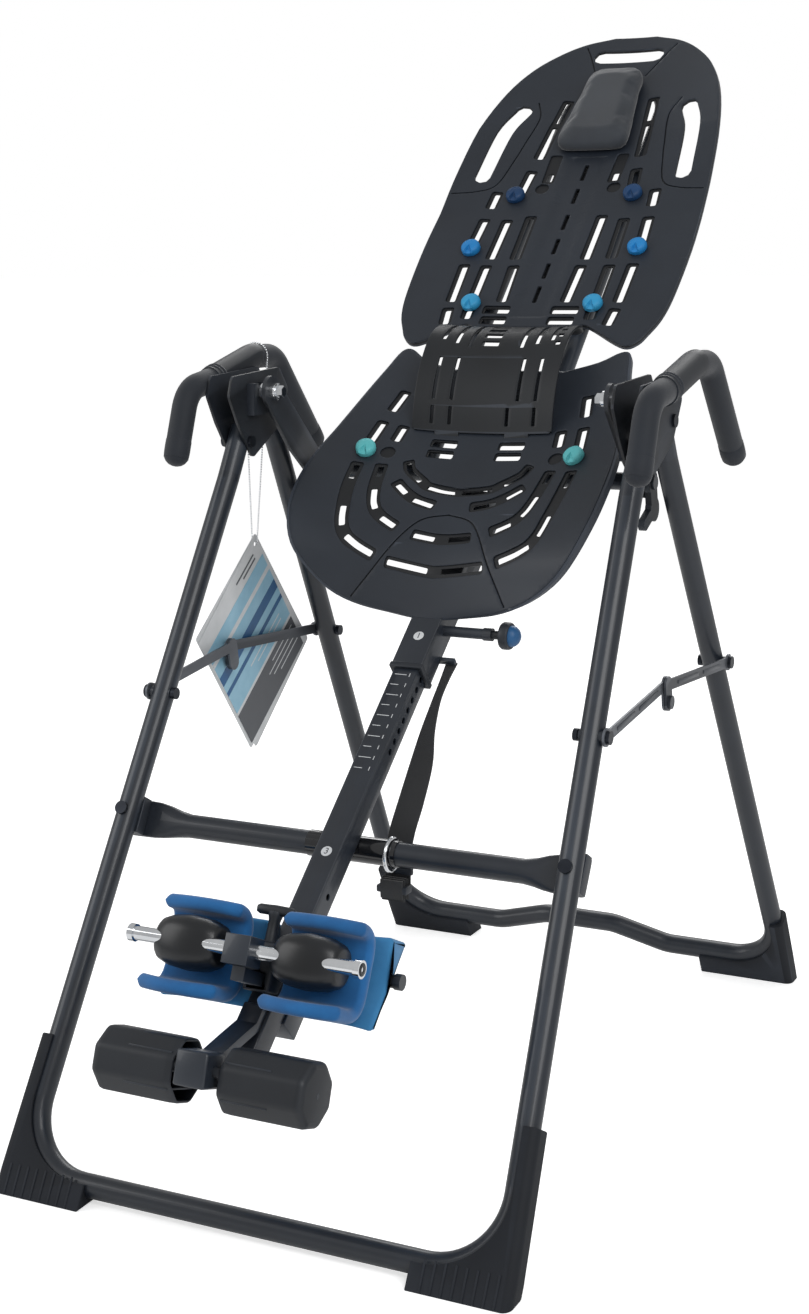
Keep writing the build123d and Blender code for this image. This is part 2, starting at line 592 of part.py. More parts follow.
# ---- spreader arms ----
for side_name, side in SIDES:
    with BuildPart() as front_arm:
        front_x = (side * ARM_X, side * (ARM_X + ARM_T))
        rod(SIDE, ARM_FRONT, ARM_END_R, *front_x)
        link(SIDE, ARM_FRONT, ARM_MEET, ARM_HALF_H * 2, *front_x)
        link(SIDE, ARM_MEET, ARM_PIN, ARM_END_R * 2, *front_x)
        rod(SIDE, ARM_FRONT, BOLT_R + RUN_GAP, *front_x, Mode.SUBTRACT)
    save(front_arm, f"front_arm_{side_name}")

    with BuildPart() as rear_arm:
        rear_x = (side * rear_arm_x, side * (rear_arm_x + ARM_T))
        rod(SIDE, ARM_REAR, ARM_END_R, *rear_x)
        link(SIDE, ARM_REAR, ARM_MEET, ARM_HALF_H * 2, *rear_x)
        link(SIDE, ARM_MEET, ARM_PIN, ARM_END_R * 2, *rear_x)
        rod(SIDE, ARM_REAR, BOLT_R + RUN_GAP, *rear_x, Mode.SUBTRACT)
        rod(SIDE, ARM_PIN, BOLT_R, side * (ARM_X + ARM_T + SEAT_GAP), side * rear_arm_x)
        rod(SIDE, ARM_PIN, HEAD_R, side * (rear_arm_x + ARM_T), side * (rear_arm_x + ARM_T + HEAD_T - 1))
    save(rear_arm, f"rear_arm_{side_name}")

# ---- table frame: cross bar, U rails, pivot arms, pins and hinge locks ----
bar_at = (BAR_Y, BAR_Z)
bar_on_shaft = SHAFT.to_local_coords(Vector(0, PIVOT_Y + BAR_Y, BAR_Z))
bar_on_bed = BED.to_local_coords(Vector(0, PIVOT_Y + BAR_Y, BAR_Z))
lock_end_x = LOCK_X + LOCK_T + SEAT_GAP
with BuildPart() as bed_cross_bar:
    rod(SIDE, bar_at, BAR_R, -ARM_PLATE_X, ARM_PLATE_X)
    rod(SIDE, bar_at, BAR_R - BAR_WALL, -(ARM_PLATE_X - BAR_R), ARM_PLATE_X - BAR_R, Mode.SUBTRACT)
    for _, side in SIDES:
        rod(SIDE, bar_at, STUB_R, side * (ARM_PLATE_X - BAR_R / 2), side * lock_end_x)
        rod(SIDE, bar_at, STUB_R + 2, side * lock_end_x, side * (lock_end_x + CAP_T))
save(bed_cross_bar, "bed_cross_bar")

with BuildPart() as bed_frame:
    loop = [(-RAIL_X, bar_on_bed.X), (-RAIL_X, RAIL_TOP), (RAIL_X, RAIL_TOP), (RAIL_X, bar_on_bed.X)]
    rail_origin = BED.from_local_coords(Vector(0, -RAIL_DEPTH, 0))
    bent_bar(Plane(origin=rail_origin, x_dir=(1, 0, 0), z_dir=BED.y_dir), loop, [RAIL_BEND] * 2,
             RAIL_R, RAIL_R - BAR_WALL)
    rod(SIDE, bar_at, BAR_R, -ARM_PLATE_X, ARM_PLATE_X, Mode.SUBTRACT)
save(bed_frame, "bed_frame")

for side_name, side in SIDES:
    arm_from_x, arm_to_x = side * ARM_PLATE_X, side * (ARM_PLATE_X + ARM_PLATE_T)
    with BuildPart() as pivot_arm:
        with BuildSketch(SIDE.offset(arm_from_x)) as arm_outline:
            for spot, radius in (((0, PIVOT_Z), ARM_LUG_R), (bar_at, ARM_LUG_R), (ARM_BULGE, ARM_LUG_R / 3)):
                with Locations(spot):
                    Circle(radius)
            make_hull()
        extrude(arm_outline.sketch, amount=arm_to_x - arm_from_x)
        rod(SIDE, (0, PIVOT_Z), PIN_R, arm_from_x, arm_to_x, Mode.SUBTRACT)
        rod(SIDE, bar_at, STUB_R, arm_from_x, arm_to_x, Mode.SUBTRACT)
    save(pivot_arm, f"pivot_arm_{side_name}")

pin_tip_x = plate_x - SEAT_GAP
pin_rim_to_x = plate_x - SEAT_T - 2
with BuildPart() as pivot_pins:
    for _, side in SIDES:
        rod(SIDE, (0, PIVOT_Z), PIN_R, side * (ARM_PLATE_X - 4), side * pin_tip_x)
        rod(SIDE, (0, PIVOT_Z), PIN_RIM_R, side * (pin_rim_to_x - PIN_RIM_T), side * pin_rim_to_x)
        rod(SIDE, (0, PIVOT_Z), PIN_RIM_R, side * (ARM_PLATE_X - 8), side * ARM_PLATE_X)
save(pivot_pins, "pivot_pins")

for side_name, side in SIDES:
    lock_x = (side * LOCK_X, side * (LOCK_X + LOCK_T))
    with BuildPart() as hinge_lock:
        rod(SIDE, bar_at, LOCK_R, *lock_x)
        link(SIDE, bar_at, LOCK_DISC, LOCK_R * 1.5, *lock_x)
        rod(SIDE, LOCK_DISC, LOCK_R, *lock_x)
        link(SIDE, LOCK_DISC, LOCK_TIP, LOCK_R, *lock_x)
        rod(SIDE, bar_at, STUB_R + RUN_GAP, *lock_x, Mode.SUBTRACT)
    save(hinge_lock, f"hinge_lock_{side_name}")

# ---- shaft sleeve with its brackets and strap lug, and its bushing rim ----
bore_half = SHAFT_W / 2 + SLIDE_GAP
with BuildPart() as shaft_sleeve:
    slab(SHAFT, (SLEEVE_FROM, -SLEEVE_DEPTH / 2), (SLEEVE_TO, SLEEVE_DEPTH / 2), -SLEEVE_WIDTH / 2, SLEEVE_WIDTH / 2)
    bracket = [(BRACKET_FROM, -8), (SLEEVE_TO, -8), (bar_on_shaft.X + 18, bar_on_shaft.Y - 8),
               (bar_on_shaft.X + 18, bar_on_shaft.Y), (bar_on_shaft.X - 18, bar_on_shaft.Y),
               (bar_on_shaft.X - 20, bar_on_shaft.Y - 14), (BRACKET_FROM, SLEEVE_DEPTH / 2)]
    for _, side in SIDES:
        sheet(SHAFT, bracket, side * SLEEVE_WIDTH / 2, side * (SLEEVE_WIDTH / 2 + BRACKET_T))
    rod(SIDE, bar_at, BAR_R, -SLEEVE_WIDTH, SLEEVE_WIDTH, Mode.SUBTRACT)
    slab(SHAFT, (LUG_AT - LUG_T, -SLEEVE_DEPTH / 2 - 2), (LUG_AT, -SLEEVE_DEPTH / 2 + LUG_T),
         SLEEVE_WIDTH / 2 - LUG_T, STRAP_X + STRAP_W / 2)
    slab(SHAFT, (SLEEVE_FROM - EXTRA, -bore_half), (SLEEVE_TO + EXTRA, bore_half), -bore_half, bore_half, Mode.SUBTRACT)
    rod(SHAFT, (HEIGHT_PIN_AT, 0), HEIGHT_ROD_R + RUN_GAP, 0, SLEEVE_WIDTH, Mode.SUBTRACT)
save(shaft_sleeve, "shaft_sleeve")

with BuildPart() as sleeve_bushing:
    slab(SHAFT, (SLEEVE_FROM - RIM_T, -SLEEVE_DEPTH / 2 - RIM_PROUD), (SLEEVE_FROM, SLEEVE_DEPTH / 2 + RIM_PROUD),
         -SLEEVE_WIDTH / 2 - RIM_PROUD, SLEEVE_WIDTH / 2 + RIM_PROUD)
    slab(SHAFT, (SLEEVE_FROM - EXTRA, -bore_half), (SLEEVE_TO + EXTRA, bore_half), -bore_half, bore_half, Mode.SUBTRACT)
save(sleeve_bushing, "sleeve_bushing")

# ---- height pin ----
pin_spot = (HEIGHT_PIN_AT, 0)
with BuildPart() as height_pin_housing:
    rod(SHAFT, pin_spot, HOUSING_R, SLEEVE_WIDTH / 2, HOUSING_TO_X)
    rod(SHAFT, pin_spot, HEIGHT_ROD_R + RUN_GAP, SLEEVE_WIDTH / 2, HOUSING_TO_X, Mode.SUBTRACT)
save(height_pin_housing, "height_pin_housing")

with BuildPart() as height_pin:
    rod(SHAFT, pin_spot, HEIGHT_ROD_R, SHAFT_W / 2 + SEAT_GAP, COLLAR_TO_X)
    rod(SHAFT, pin_spot, COLLAR_R, HOUSING_TO_X + SEAT_GAP, COLLAR_TO_X)
    rod(SHAFT, pin_spot, NECK_R, COLLAR_TO_X, NECK_TO_X)
save(height_pin, "height_pin")

with BuildPart() as height_pin_knob:
    rod(SHAFT, pin_spot, KNOB_R, NECK_TO_X, KNOB_TO_X)
    knob_face = Plane(origin=SHAFT.from_local_coords(Vector(*pin_spot, KNOB_TO_X)), x_dir=(1, 0, 0), z_dir=SHAFT.x_dir)
    with BuildSketch(knob_face) as dome:
        with BuildLine():
            Line((0, 0), (DOME_H, 0))
            RadiusArc((DOME_H, 0), (0, KNOB_R - 3), KNOB_R)
            Line((0, KNOB_R - 3), (0, 0))
        make_face()
    revolve(dome.sketch, axis=Axis(knob_face.origin, (1, 0, 0)))
save(height_pin_knob, "height_pin_knob")

# ---- main shaft ----
with BuildPart() as main_shaft:
    slab(SHAFT, (SHAFT_FROM, -SHAFT_W / 2), (SHAFT_TO, SHAFT_W / 2), -SHAFT_W / 2, SHAFT_W / 2)
    hollow = SHAFT_W / 2 - SHAFT_WALL
    slab(SHAFT, (SHAFT_FROM - EXTRA, -hollow), (SHAFT_TO + EXTRA, hollow), -hollow, hollow, Mode.SUBTRACT)
    for step in range(HOLE_COUNT):
        rod(SHAFT, (HEIGHT_PIN_AT - step * HOLE_PITCH, 0), HOLE_R, 0, SHAFT_W, Mode.SUBTRACT)
    rod(SHAFT, (STORE_HOLE_AT, 0), HOLE_R, 0, SHAFT_W, Mode.SUBTRACT)
    rod(ANKLE, (0, HEEL_OUT), HEEL_ROD_R, -SHAFT_W, SHAFT_W, Mode.SUBTRACT)
    slab(ANKLE, (RAIL_LOW - SLIDE_GAP, -EXTRA / 4), (RAIL_HIGH + SLIDE_GAP, EXTRA / 4),
         -RAIL_HALF_X - SLIDE_GAP, RAIL_HALF_X + SLIDE_GAP, Mode.SUBTRACT)
save(main_shaft, "main_shaft")

with BuildPart() as heel_bracket:
    slab(SHAFT, (BRACKET_LOW_AT, -BRACKET_DROP), (BRACKET_HIGH_AT, -SHAFT_W / 2), -BRACKET_HALF_X, BRACKET_HALF_X)
    slab(ANKLE, (RAIL_LOW - SLIDE_GAP, -EXTRA / 4), (RAIL_HIGH + SLIDE_GAP, EXTRA / 4),
         -RAIL_HALF_X - SLIDE_GAP, RAIL_HALF_X + SLIDE_GAP, Mode.SUBTRACT)
save(heel_bracket, "heel_bracket")

# ---- ankle lock on the shaft ----
with BuildPart() as heel_rod:
    rod(ANKLE, (0, HEEL_OUT), HEEL_ROD_R, -HEEL_ROD_HALF, HEEL_ROD_HALF)
    for _, side in SIDES:
        rod(ANKLE, (0, HEEL_OUT), HEEL_CAP_R, side * HEEL_ROD_HALF, side * (HEEL_ROD_HALF + HEEL_CAP_T))
save(heel_rod, "heel_rod")

with BuildPart() as heel_cup:
    for _, side in SIDES:
        sheet(ANKLE, HEEL_SECTION, side * (LOCK_HALF_X + 2), side * HEEL_CUP_HALF)
    rod(ANKLE, (0, HEEL_OUT), HEEL_ROD_R, -HEEL_ROD_HALF, HEEL_ROD_HALF, Mode.SUBTRACT)
save(heel_cup, "heel_cup")

with BuildPart() as ankle_lock_housing:
    sheet(ANKLE, LOCK_SECTION, -LOCK_HALF_X, LOCK_HALF_X)
    slab(ANKLE, (RAIL_LOW - SLIDE_GAP, -EXTRA / 4), (RAIL_HIGH + SLIDE_GAP, EXTRA / 4),
         -RAIL_HALF_X - SLIDE_GAP, RAIL_HALF_X + SLIDE_GAP, Mode.SUBTRACT)
    post(ANKLE, 0, T_STEM_OUT, T_ROD_R + RUN_GAP, RAIL_LOW, LOCK_SECTION[0][0] + 1, Mode.SUBTRACT)
save(ankle_lock_housing, "ankle_lock_housing")

with BuildPart() as ankle_pin:
    lock_top = LOCK_SECTION[0][0] + SEAT_GAP
    post(ANKLE, 0, T_STEM_OUT, T_ROD_R, RAIL_HIGH + SEAT_GAP, lock_top)
    post(ANKLE, 0, T_STEM_OUT, T_STEM_R, lock_top, T_STEM_TOP)
    slab(ANKLE, (T_BAR_LOW, T_STEM_OUT - 6.5), (T_BAR_HIGH, T_STEM_OUT + 6.5), -T_BAR_HALF, T_BAR_HALF)
save(ankle_pin, "ankle_pin")

# ---- ankle carriage with its rod, shells and foam cups ----
rod_spot = (ANKLE_ROD_UP, ANKLE_ROD_OUT)
with BuildPart() as ankle_carriage:
    slab(ANKLE, (-HUB_HALF_H, HUB_BACK), (HUB_HALF_H, HUB_FRONT), -HUB_HALF_X, HUB_HALF_X)
    slab(ANKLE, (RAIL_LOW, RAIL_BACK), (RAIL_HIGH, RAIL_FRONT), -RAIL_HALF_X, RAIL_HALF_X)
    slab(ANKLE, (RAIL_LOW, HUB_BACK), (-HUB_HALF_H, RAIL_FRONT), -RAIL_HALF_X, RAIL_HALF_X)
    rod(ANKLE, rod_spot, ANKLE_ROD_R, -SHAFT_W, SHAFT_W, Mode.SUBTRACT)
save(ankle_carriage, "ankle_carriage")

with BuildPart() as ankle_rod:
    rod(ANKLE, rod_spot, ANKLE_ROD_R, -ANKLE_ROD_HALF, ANKLE_ROD_HALF)
    for _, side in SIDES:
        rod(ANKLE, rod_spot, ANKLE_ROD_R + 2, side * ANKLE_ROD_HALF, side * (ANKLE_ROD_HALF + ROD_CAP_T))
save(ankle_rod, "ankle_rod")

with BuildPart() as ankle_shells:
    barrel_axis = ANKLE.from_local_coords(Vector(ANKLE_ROD_UP, SHELL_OUT, 0))
    for _, side in SIDES:
        with BuildSketch(Plane(origin=barrel_axis, x_dir=(1, 0, 0), z_dir=ANKLE.x_dir)) as barrel:
            with BuildLine():
                Polyline((side * (SHELL_X - SHELL_HALF), 0), (side * (SHELL_X - SHELL_HALF), SHELL_END_R))
                ThreePointArc((side * (SHELL_X - SHELL_HALF), SHELL_END_R), (side * SHELL_X, SHELL_R),
                              (side * (SHELL_X + SHELL_HALF), SHELL_END_R))
                Polyline((side * (SHELL_X + SHELL_HALF), SHELL_END_R), (side * (SHELL_X + SHELL_HALF), 0),
                         (side * (SHELL_X - SHELL_HALF), 0))
            make_face()
        revolve(barrel.sketch, axis=Axis(barrel_axis, (1, 0, 0)))
    rod(ANKLE, rod_spot, ANKLE_ROD_R, -ANKLE_ROD_HALF, ANKLE_ROD_HALF, Mode.SUBTRACT)
save(ankle_shells, "ankle_shells")

with BuildPart() as ankle_cups:
    for _, side in SIDES:
        sheet(ANKLE, CUP_OUTER + CUP_INNER, side * CUP_FROM_X, side * CUP_TO_X)
    add(ankle_shells.part, mode=Mode.SUBTRACT)
save(ankle_cups, "ankle_cups")

# ---- foot platform ----
with BuildPart() as platform_hub:
    slab(PLATFORM, (-PLATFORM_HUB / 2, -PLATFORM_HUB / 2), (PLATFORM_HUB / 2, PLATFORM_HUB / 2),
         -PLATFORM_HUB / 2, PLATFORM_HUB / 2)
    rod(PLATFORM, (0, 0), AXLE_R + RUN_GAP, -EXTRA, EXTRA, Mode.SUBTRACT)
save(platform_hub, "platform_hub")

with BuildPart() as platform_arm:
    arm_out = SHAFT_W / 2 + PLATFORM_ARM_T / 2
    hub_spot = SHAFT.to_local_coords(PLATFORM.origin)
    arm_route = [(-846, arm_out), (-870, arm_out), (-900, arm_out + 20), (hub_spot.X, hub_spot.Y)]
    for near, far in zip(arm_route, arm_route[1:]):
        link(SHAFT, near, far, PLATFORM_ARM_T, -PLATFORM_ARM_W / 2, PLATFORM_ARM_W / 2)
    slab(PLATFORM, (-PLATFORM_HUB / 2, -PLATFORM_HUB / 2), (PLATFORM_HUB / 2, PLATFORM_HUB / 2),
         -PLATFORM_HUB / 2, PLATFORM_HUB / 2, Mode.SUBTRACT)
save(platform_arm, "platform_arm")

with BuildPart() as foot_pads:
    rod(PLATFORM, (0, 0), AXLE_R, -PAD_TO_X + PAD_WALL, PAD_TO_X - PAD_WALL)
    for _, side in SIDES:
        with BuildSketch(PLATFORM.offset(side * PAD_FROM_X)) as pad_outline:
            with Locations(PAD_MIDDLE):
                RegularPolygon(PAD_HALF, 8, major_radius=False)
        extrude(pad_outline.sketch, amount=side * (PAD_TO_X - PAD_FROM_X))
        with BuildSketch(PLATFORM.offset(side * PAD_FROM_X)) as pad_pocket:
            with Locations(PAD_MIDDLE):
                RegularPolygon(PAD_HALF - PAD_WALL, 8, major_radius=False)
        extrude(pad_pocket.sketch, amount=side * (PAD_TO_X - PAD_FROM_X - PAD_WALL), mode=Mode.SUBTRACT)
        reach = PAD_HALF - PAD_WALL / 2
        for across in ((reach, PAD_WALL / 2), (PAD_WALL / 2, reach)):
            slab(PLATFORM, (PAD_MIDDLE[0] - across[0], PAD_MIDDLE[1] - across[1]),
                 (PAD_MIDDLE[0] + across[0], PAD_MIDDLE[1] + across[1]),
                 side * (PAD_FROM_X + 3), side * (PAD_TO_X - PAD_WALL / 2))
        rod(PLATFORM, (0, 0), AXLE_R, side * PAD_FROM_X, side * (PAD_TO_X - PAD_WALL))
save(foot_pads, "foot_pads")

# ---- backrest ----
def bed_section(up):
    """Plane square to the bed at a distance up from the pivot: x across, y out of the surface."""
    return Plane(origin=BED.from_local_coords(Vector(up, 0, 0)), x_dir=(1, 0, 0), z_dir=-BED.x_dir)


def dished(frame, half, middle, rise, thick):
    """Dished strip of a lying surface: its section on a plane square to that surface."""
    with BuildSketch(frame) as section:
        with BuildLine():
            ThreePointArc((-half, middle + rise), (0, middle), (half, middle + rise))
            Line((half, middle + rise), (half, middle + rise - thick))
            ThreePointArc((half, middle + rise - thick), (0, middle - thick), (-half, middle + rise - thick))
            Line((-half, middle + rise - thick), (-half, middle + rise))
        make_face()
    return section.sketch


def trough_rise(up, x):
    """Height of the dished backrest above its middle line."""
    for (low, low_rise), (high, high_rise) in zip(TROUGH, TROUGH[1:]):
        if up <= high:
            break
    edge = low_rise + (high_rise - low_rise) * (up - low) / (high - low)
    return edge * (x / TROUGH_HALF) ** 2


def bed_sheet(at=0.0):
    """Plane parallel to the bed, at a distance above the pivot axis: x across, y up the bed."""
    return Plane(origin=BED.from_local_coords(Vector(0, at, 0)), x_dir=(1, 0, 0), z_dir=BED.y_dir)


right_edge = [(half, up) for up, half in BACK_OUTLINE]
left_edge = [(-half, up) for half, up in reversed(right_edge)]
with BuildPart() as backrest:
    loft([dished(bed_section(up), TROUGH_HALF, -BACK_DEPTH, rise, SHELL_T) for up, rise in TROUGH])
    with BuildSketch(bed_sheet(-BACK_DEPTH - EXTRA / 4)) as outline:
        with BuildLine():
            Spline(*right_edge, *left_edge)
            Polyline(left_edge[-1], (-BACK_BOTTOM[1], BACK_BOTTOM[0]), (BACK_BOTTOM[1], BACK_BOTTOM[0]), right_edge[0])
        make_face()
    extrude(outline.sketch, amount=EXTRA / 2, mode=Mode.INTERSECT)
    for up in (330, 560, 720):
        for _, side in SIDES:
            with BuildSketch(bed_sheet(-RAIL_DEPTH + RAIL_R)) as boss:
                with Locations((side * RAIL_X, up)):
                    RectangleRounded(24, 40, 4)
            extrude(boss.sketch, amount=RAIL_DEPTH - RAIL_R - BACK_DEPTH - SHELL_T / 2 + trough_rise(up, RAIL_X))
    with BuildSketch(bed_sheet(-BACK_DEPTH - EXTRA / 4)) as slots:
        with Locations((0, SLOT_TOP[0])):
            SlotCenterToCenter(SLOT_TOP[1] * 2 - SLOT_TOP[2] * 2, SLOT_TOP[2] * 2)
        for _, side in SIDES:
            for (near_x, near_up), (far_x, far_up) in zip(HAND_SLOT, HAND_SLOT[1:]):
                run = Vector(side * (far_x - near_x), far_up - near_up)
                with Locations((side * (near_x + far_x) / 2, (near_up + far_up) / 2)):
                    SlotCenterToCenter(run.length, HAND_SLOT_W, rotation=degrees(atan2(run.Y, run.X)))
    extrude(slots.sketch, amount=EXTRA / 2, mode=Mode.SUBTRACT)
save(backrest, "backrest")

# ---- seat, lumbar bridge, pillow and pressure nodes ----
with BuildPart() as seat:
    rows = []
    for up, out, half, rise, slope in SEAT_SECTIONS:
        turned = tilted(*place(BED, up, out), BED_TILT + slope)
        square = Plane(origin=turned.origin, x_dir=(1, 0, 0), z_dir=-turned.x_dir)
        rows.append(dished(square, half, 0, rise, SEAT_T_SHELL))
    loft(rows)
    for up in (60, 170):
        for _, side in SIDES:
            with BuildSketch(bed_sheet(-RAIL_DEPTH + RAIL_R)) as boss:
                with Locations((side * RAIL_X, up)):
                    RectangleRounded(24, 40, 4)
            extrude(boss.sketch, amount=RAIL_DEPTH - RAIL_R + SEAT_SECTIONS[1][1] - SEAT_T_SHELL / 2)
save(seat, "seat")

with BuildPart() as lumbar_bridge:
    with BuildSketch(BED.offset(-LUMBAR_HALF)) as arch:
        with BuildLine() as arch_line:
            Spline(*[(up, height - BACK_DEPTH) for up, height in LUMBAR_ARCH])
        trace(line_width=LUMBAR_T)
    extrude(arch.sketch, amount=LUMBAR_HALF * 2)
    add(seat.part, mode=Mode.SUBTRACT)
    add(backrest.part, mode=Mode.SUBTRACT)
save(lumbar_bridge, "lumbar_bridge")

with BuildPart() as head_pillow:
    with BuildSketch(bed_sheet(-BACK_DEPTH - SHELL_T / 4)) as cushion:
        Polygon((-PILLOW_HALF_LOW, PILLOW_FROM), (PILLOW_HALF_LOW, PILLOW_FROM), (PILLOW_HALF_HIGH, PILLOW_TO),
                (-PILLOW_HALF_HIGH, PILLOW_TO), align=None)
        fillet(cushion.vertices(), 16)
    extrude(cushion.sketch, amount=PILLOW_T + SHELL_T / 4)
    add(backrest.part, mode=Mode.SUBTRACT)
save(head_pillow, "head_pillow")

with BuildPart() as pressure_nodes:
    for _, side in SIDES:
        for x, up in BACK_NODES:
            with BuildSketch(bed_sheet(-BACK_DEPTH + trough_rise(up, x) - SHELL_T / 4)) as head:
                with Locations((side * x, up)):
                    Circle(NODE_R)
            extrude(head.sketch, amount=NODE_H + SHELL_T / 4)
        with BuildSketch(bed_sheet(-BACK_DEPTH + 12)) as head:
            with Locations((side * SEAT_NODE[0], SEAT_NODE[1])):
                Circle(NODE_R)
        extrude(head.sketch, amount=NODE_H + 4)
    add(backrest.part, mode=Mode.SUBTRACT)
    add(seat.part, mode=Mode.SUBTRACT)
save(pressure_nodes, "pressure_nodes")

# ---- tether strap with its folded end ----
with BuildPart() as tether_strap:
    with BuildSketch(SIDE.offset(STRAP_X - STRAP_W / 2)) as webbing:
        with BuildLine() as course:
            FilletPolyline(*STRAP_PATH, radius=STRAP_BENDS)
        trace(line_width=STRAP_T)
    extrude(webbing.sketch, amount=STRAP_W)
    slab(SIDE, *BUNDLE)
save(tether_strap, "tether_strap")

# ---- hanging tag and its ball chain ----
with BuildPart() as hang_tag:
    card_plane = tilted(*TAG_MIDDLE, TAG_TURN).offset(-TAG_X - TAG_T / 2)
    with BuildSketch(card_plane) as card:
        Rectangle(TAG_W, TAG_H)
        with Locations((TAG_HOLE_IN - TAG_W / 2, TAG_HOLE_IN - TAG_H / 2)):
            Circle(TAG_HOLE_R, mode=Mode.SUBTRACT)
    extrude(card.sketch, amount=TAG_T)
save(hang_tag, "hang_tag")

def tangent_spot(spot, radius, side):
    """Where a line from a spot meets a circle round the origin, on its left (-1) or right (1) side."""
    reach = hypot(*spot)
    turn = atan2(spot[1], spot[0]) + side * acos(radius / reach)
    return radius * cos(turn), radius * sin(turn)


with BuildPart() as tag_chain:
    loop_r = GRIP_R + CHAIN_R + CHAIN_GAP
    loop_middle = (-HANDLE_X, HANDLE_PATH[3][1])
    ends = [(-TAG_X + step - loop_middle[0], CHAIN_LOW_Z - loop_middle[1]) for step in (-CHAIN_SPREAD, CHAIN_SPREAD)]
    touch = [tangent_spot(end, loop_r, side) for end, side in zip(ends, (-1, 1))]
    low_left, high_left, top, high_right, low_right = [
        (loop_middle[0] + x, loop_middle[1] + z) for x, z in (ends[0], touch[0], (0, loop_r), touch[1], ends[1])]
    with BuildLine(Plane(origin=(0, PIVOT_Y + CHAIN_Y, 0), x_dir=(1, 0, 0), z_dir=(0, -1, 0))) as strands:
        Line(low_left, high_left)
        ThreePointArc(high_left, top, high_right)
        Line(high_right, low_right)
    with BuildSketch(Plane(origin=strands.line @ 0, z_dir=strands.line % 0)) as link_section:
        Circle(CHAIN_R)
    sweep(link_section.sketch, path=strands.line)
    with BuildSketch(Plane(origin=(-TAG_X - CHAIN_SPREAD - CHAIN_R, PIVOT_Y + CHAIN_Y, CHAIN_LOW_Z), z_dir=(1, 0, 0))) as bead:
        Circle(CHAIN_R * 1.2)
    extrude(bead.sketch, amount=2 * (CHAIN_SPREAD + CHAIN_R))
save(tag_chain, "tag_chain")
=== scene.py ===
"""Inversion table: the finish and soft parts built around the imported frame.

Lengths in the tables are millimetres, measured as in the part: y from the pivot axis, z from
the floor. Every mesh is made in metres in the row frame.
"""
import json
from math import acos, atan2, cos, degrees, hypot, pi, radians, sin

import bmesh
import bpy
from mathutils import Matrix, Vector

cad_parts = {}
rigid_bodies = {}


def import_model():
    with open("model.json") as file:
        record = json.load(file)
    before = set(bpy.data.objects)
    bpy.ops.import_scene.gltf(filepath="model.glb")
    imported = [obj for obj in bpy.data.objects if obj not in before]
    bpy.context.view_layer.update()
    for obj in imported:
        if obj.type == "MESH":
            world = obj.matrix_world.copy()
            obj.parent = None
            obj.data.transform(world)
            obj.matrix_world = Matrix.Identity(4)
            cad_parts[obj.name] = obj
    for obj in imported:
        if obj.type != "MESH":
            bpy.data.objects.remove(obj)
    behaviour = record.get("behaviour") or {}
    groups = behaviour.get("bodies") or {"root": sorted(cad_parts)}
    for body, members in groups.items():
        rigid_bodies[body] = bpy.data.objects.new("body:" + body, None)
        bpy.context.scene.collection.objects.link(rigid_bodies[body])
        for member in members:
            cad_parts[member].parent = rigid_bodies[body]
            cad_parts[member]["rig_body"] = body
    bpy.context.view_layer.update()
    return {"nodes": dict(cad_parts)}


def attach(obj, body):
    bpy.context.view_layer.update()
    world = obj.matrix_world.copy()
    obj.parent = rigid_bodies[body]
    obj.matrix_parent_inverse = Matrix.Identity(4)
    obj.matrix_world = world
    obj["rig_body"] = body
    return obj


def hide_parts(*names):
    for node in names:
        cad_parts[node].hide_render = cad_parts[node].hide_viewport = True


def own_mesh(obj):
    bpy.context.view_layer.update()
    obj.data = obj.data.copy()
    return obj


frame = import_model()
nodes = frame["nodes"]

MM = 0.001
SIDES = (("left", -1), ("right", 1))

# ---- the part's own datums ----
PIVOT_Y, PIVOT_Z = -60.0, 988.0
BED_TILT, SHAFT_TILT, ANKLE_TILT, PLATFORM_TILT = 43.5, 39.54, 24.5, 70.1
SHAFT_DROP, BACK_DEPTH = 236.0, 155.0
ANKLE_AT = -767.0
BED_START = 349.3           # up the bed from the pivot to where lying-surface lengths start
TROUGH = [(225, 3), (520, 5), (700, 30), (945, 38)]
TROUGH_HALF = 240.0
SEAT_SECTIONS = [(228, -157.5, 178, 4, 0), (190, -157.5, 190, 8, 0), (150, -157.5, 200, 12, 0),
                 (60, -157.5, 216, 24, 0), (0, -157.0, 227, 34, -4), (-60, -152.5, 231, 40, 2),
                 (-111, -153.6, 226, 42, 12), (-150, -160, 206, 36, 26), (-186, -175, 170, 20, 38),
                 (-214, -189, 96, 6, 50)]


def tilted(y, z, tilt):
    """Local x across, y along the tilt, z square to it, all in millimetres."""
    a = radians(tilt)
    turn = Matrix(((1, 0, 0, 0), (0, cos(a), -sin(a), 0), (0, sin(a), cos(a), 0), (0, 0, 0, 1)))
    return Matrix.Translation((0, (PIVOT_Y + y) * MM, z * MM)) @ turn @ Matrix.Scale(MM, 4)


SIDE = tilted(0, 0, 0)
BED = tilted(0, PIVOT_Z, BED_TILT)
SHAFT = tilted(SHAFT_DROP * sin(radians(SHAFT_TILT)), PIVOT_Z - SHAFT_DROP * cos(radians(SHAFT_TILT)),
               SHAFT_TILT)
ankle_origin = SHAFT @ Vector((0, ANKLE_AT, 0)) / MM
ANKLE = tilted(ankle_origin.y - PIVOT_Y, ankle_origin.z, SHAFT_TILT + ANKLE_TILT)
PLATFORM = tilted(-648.0, 258.0, PLATFORM_TILT)


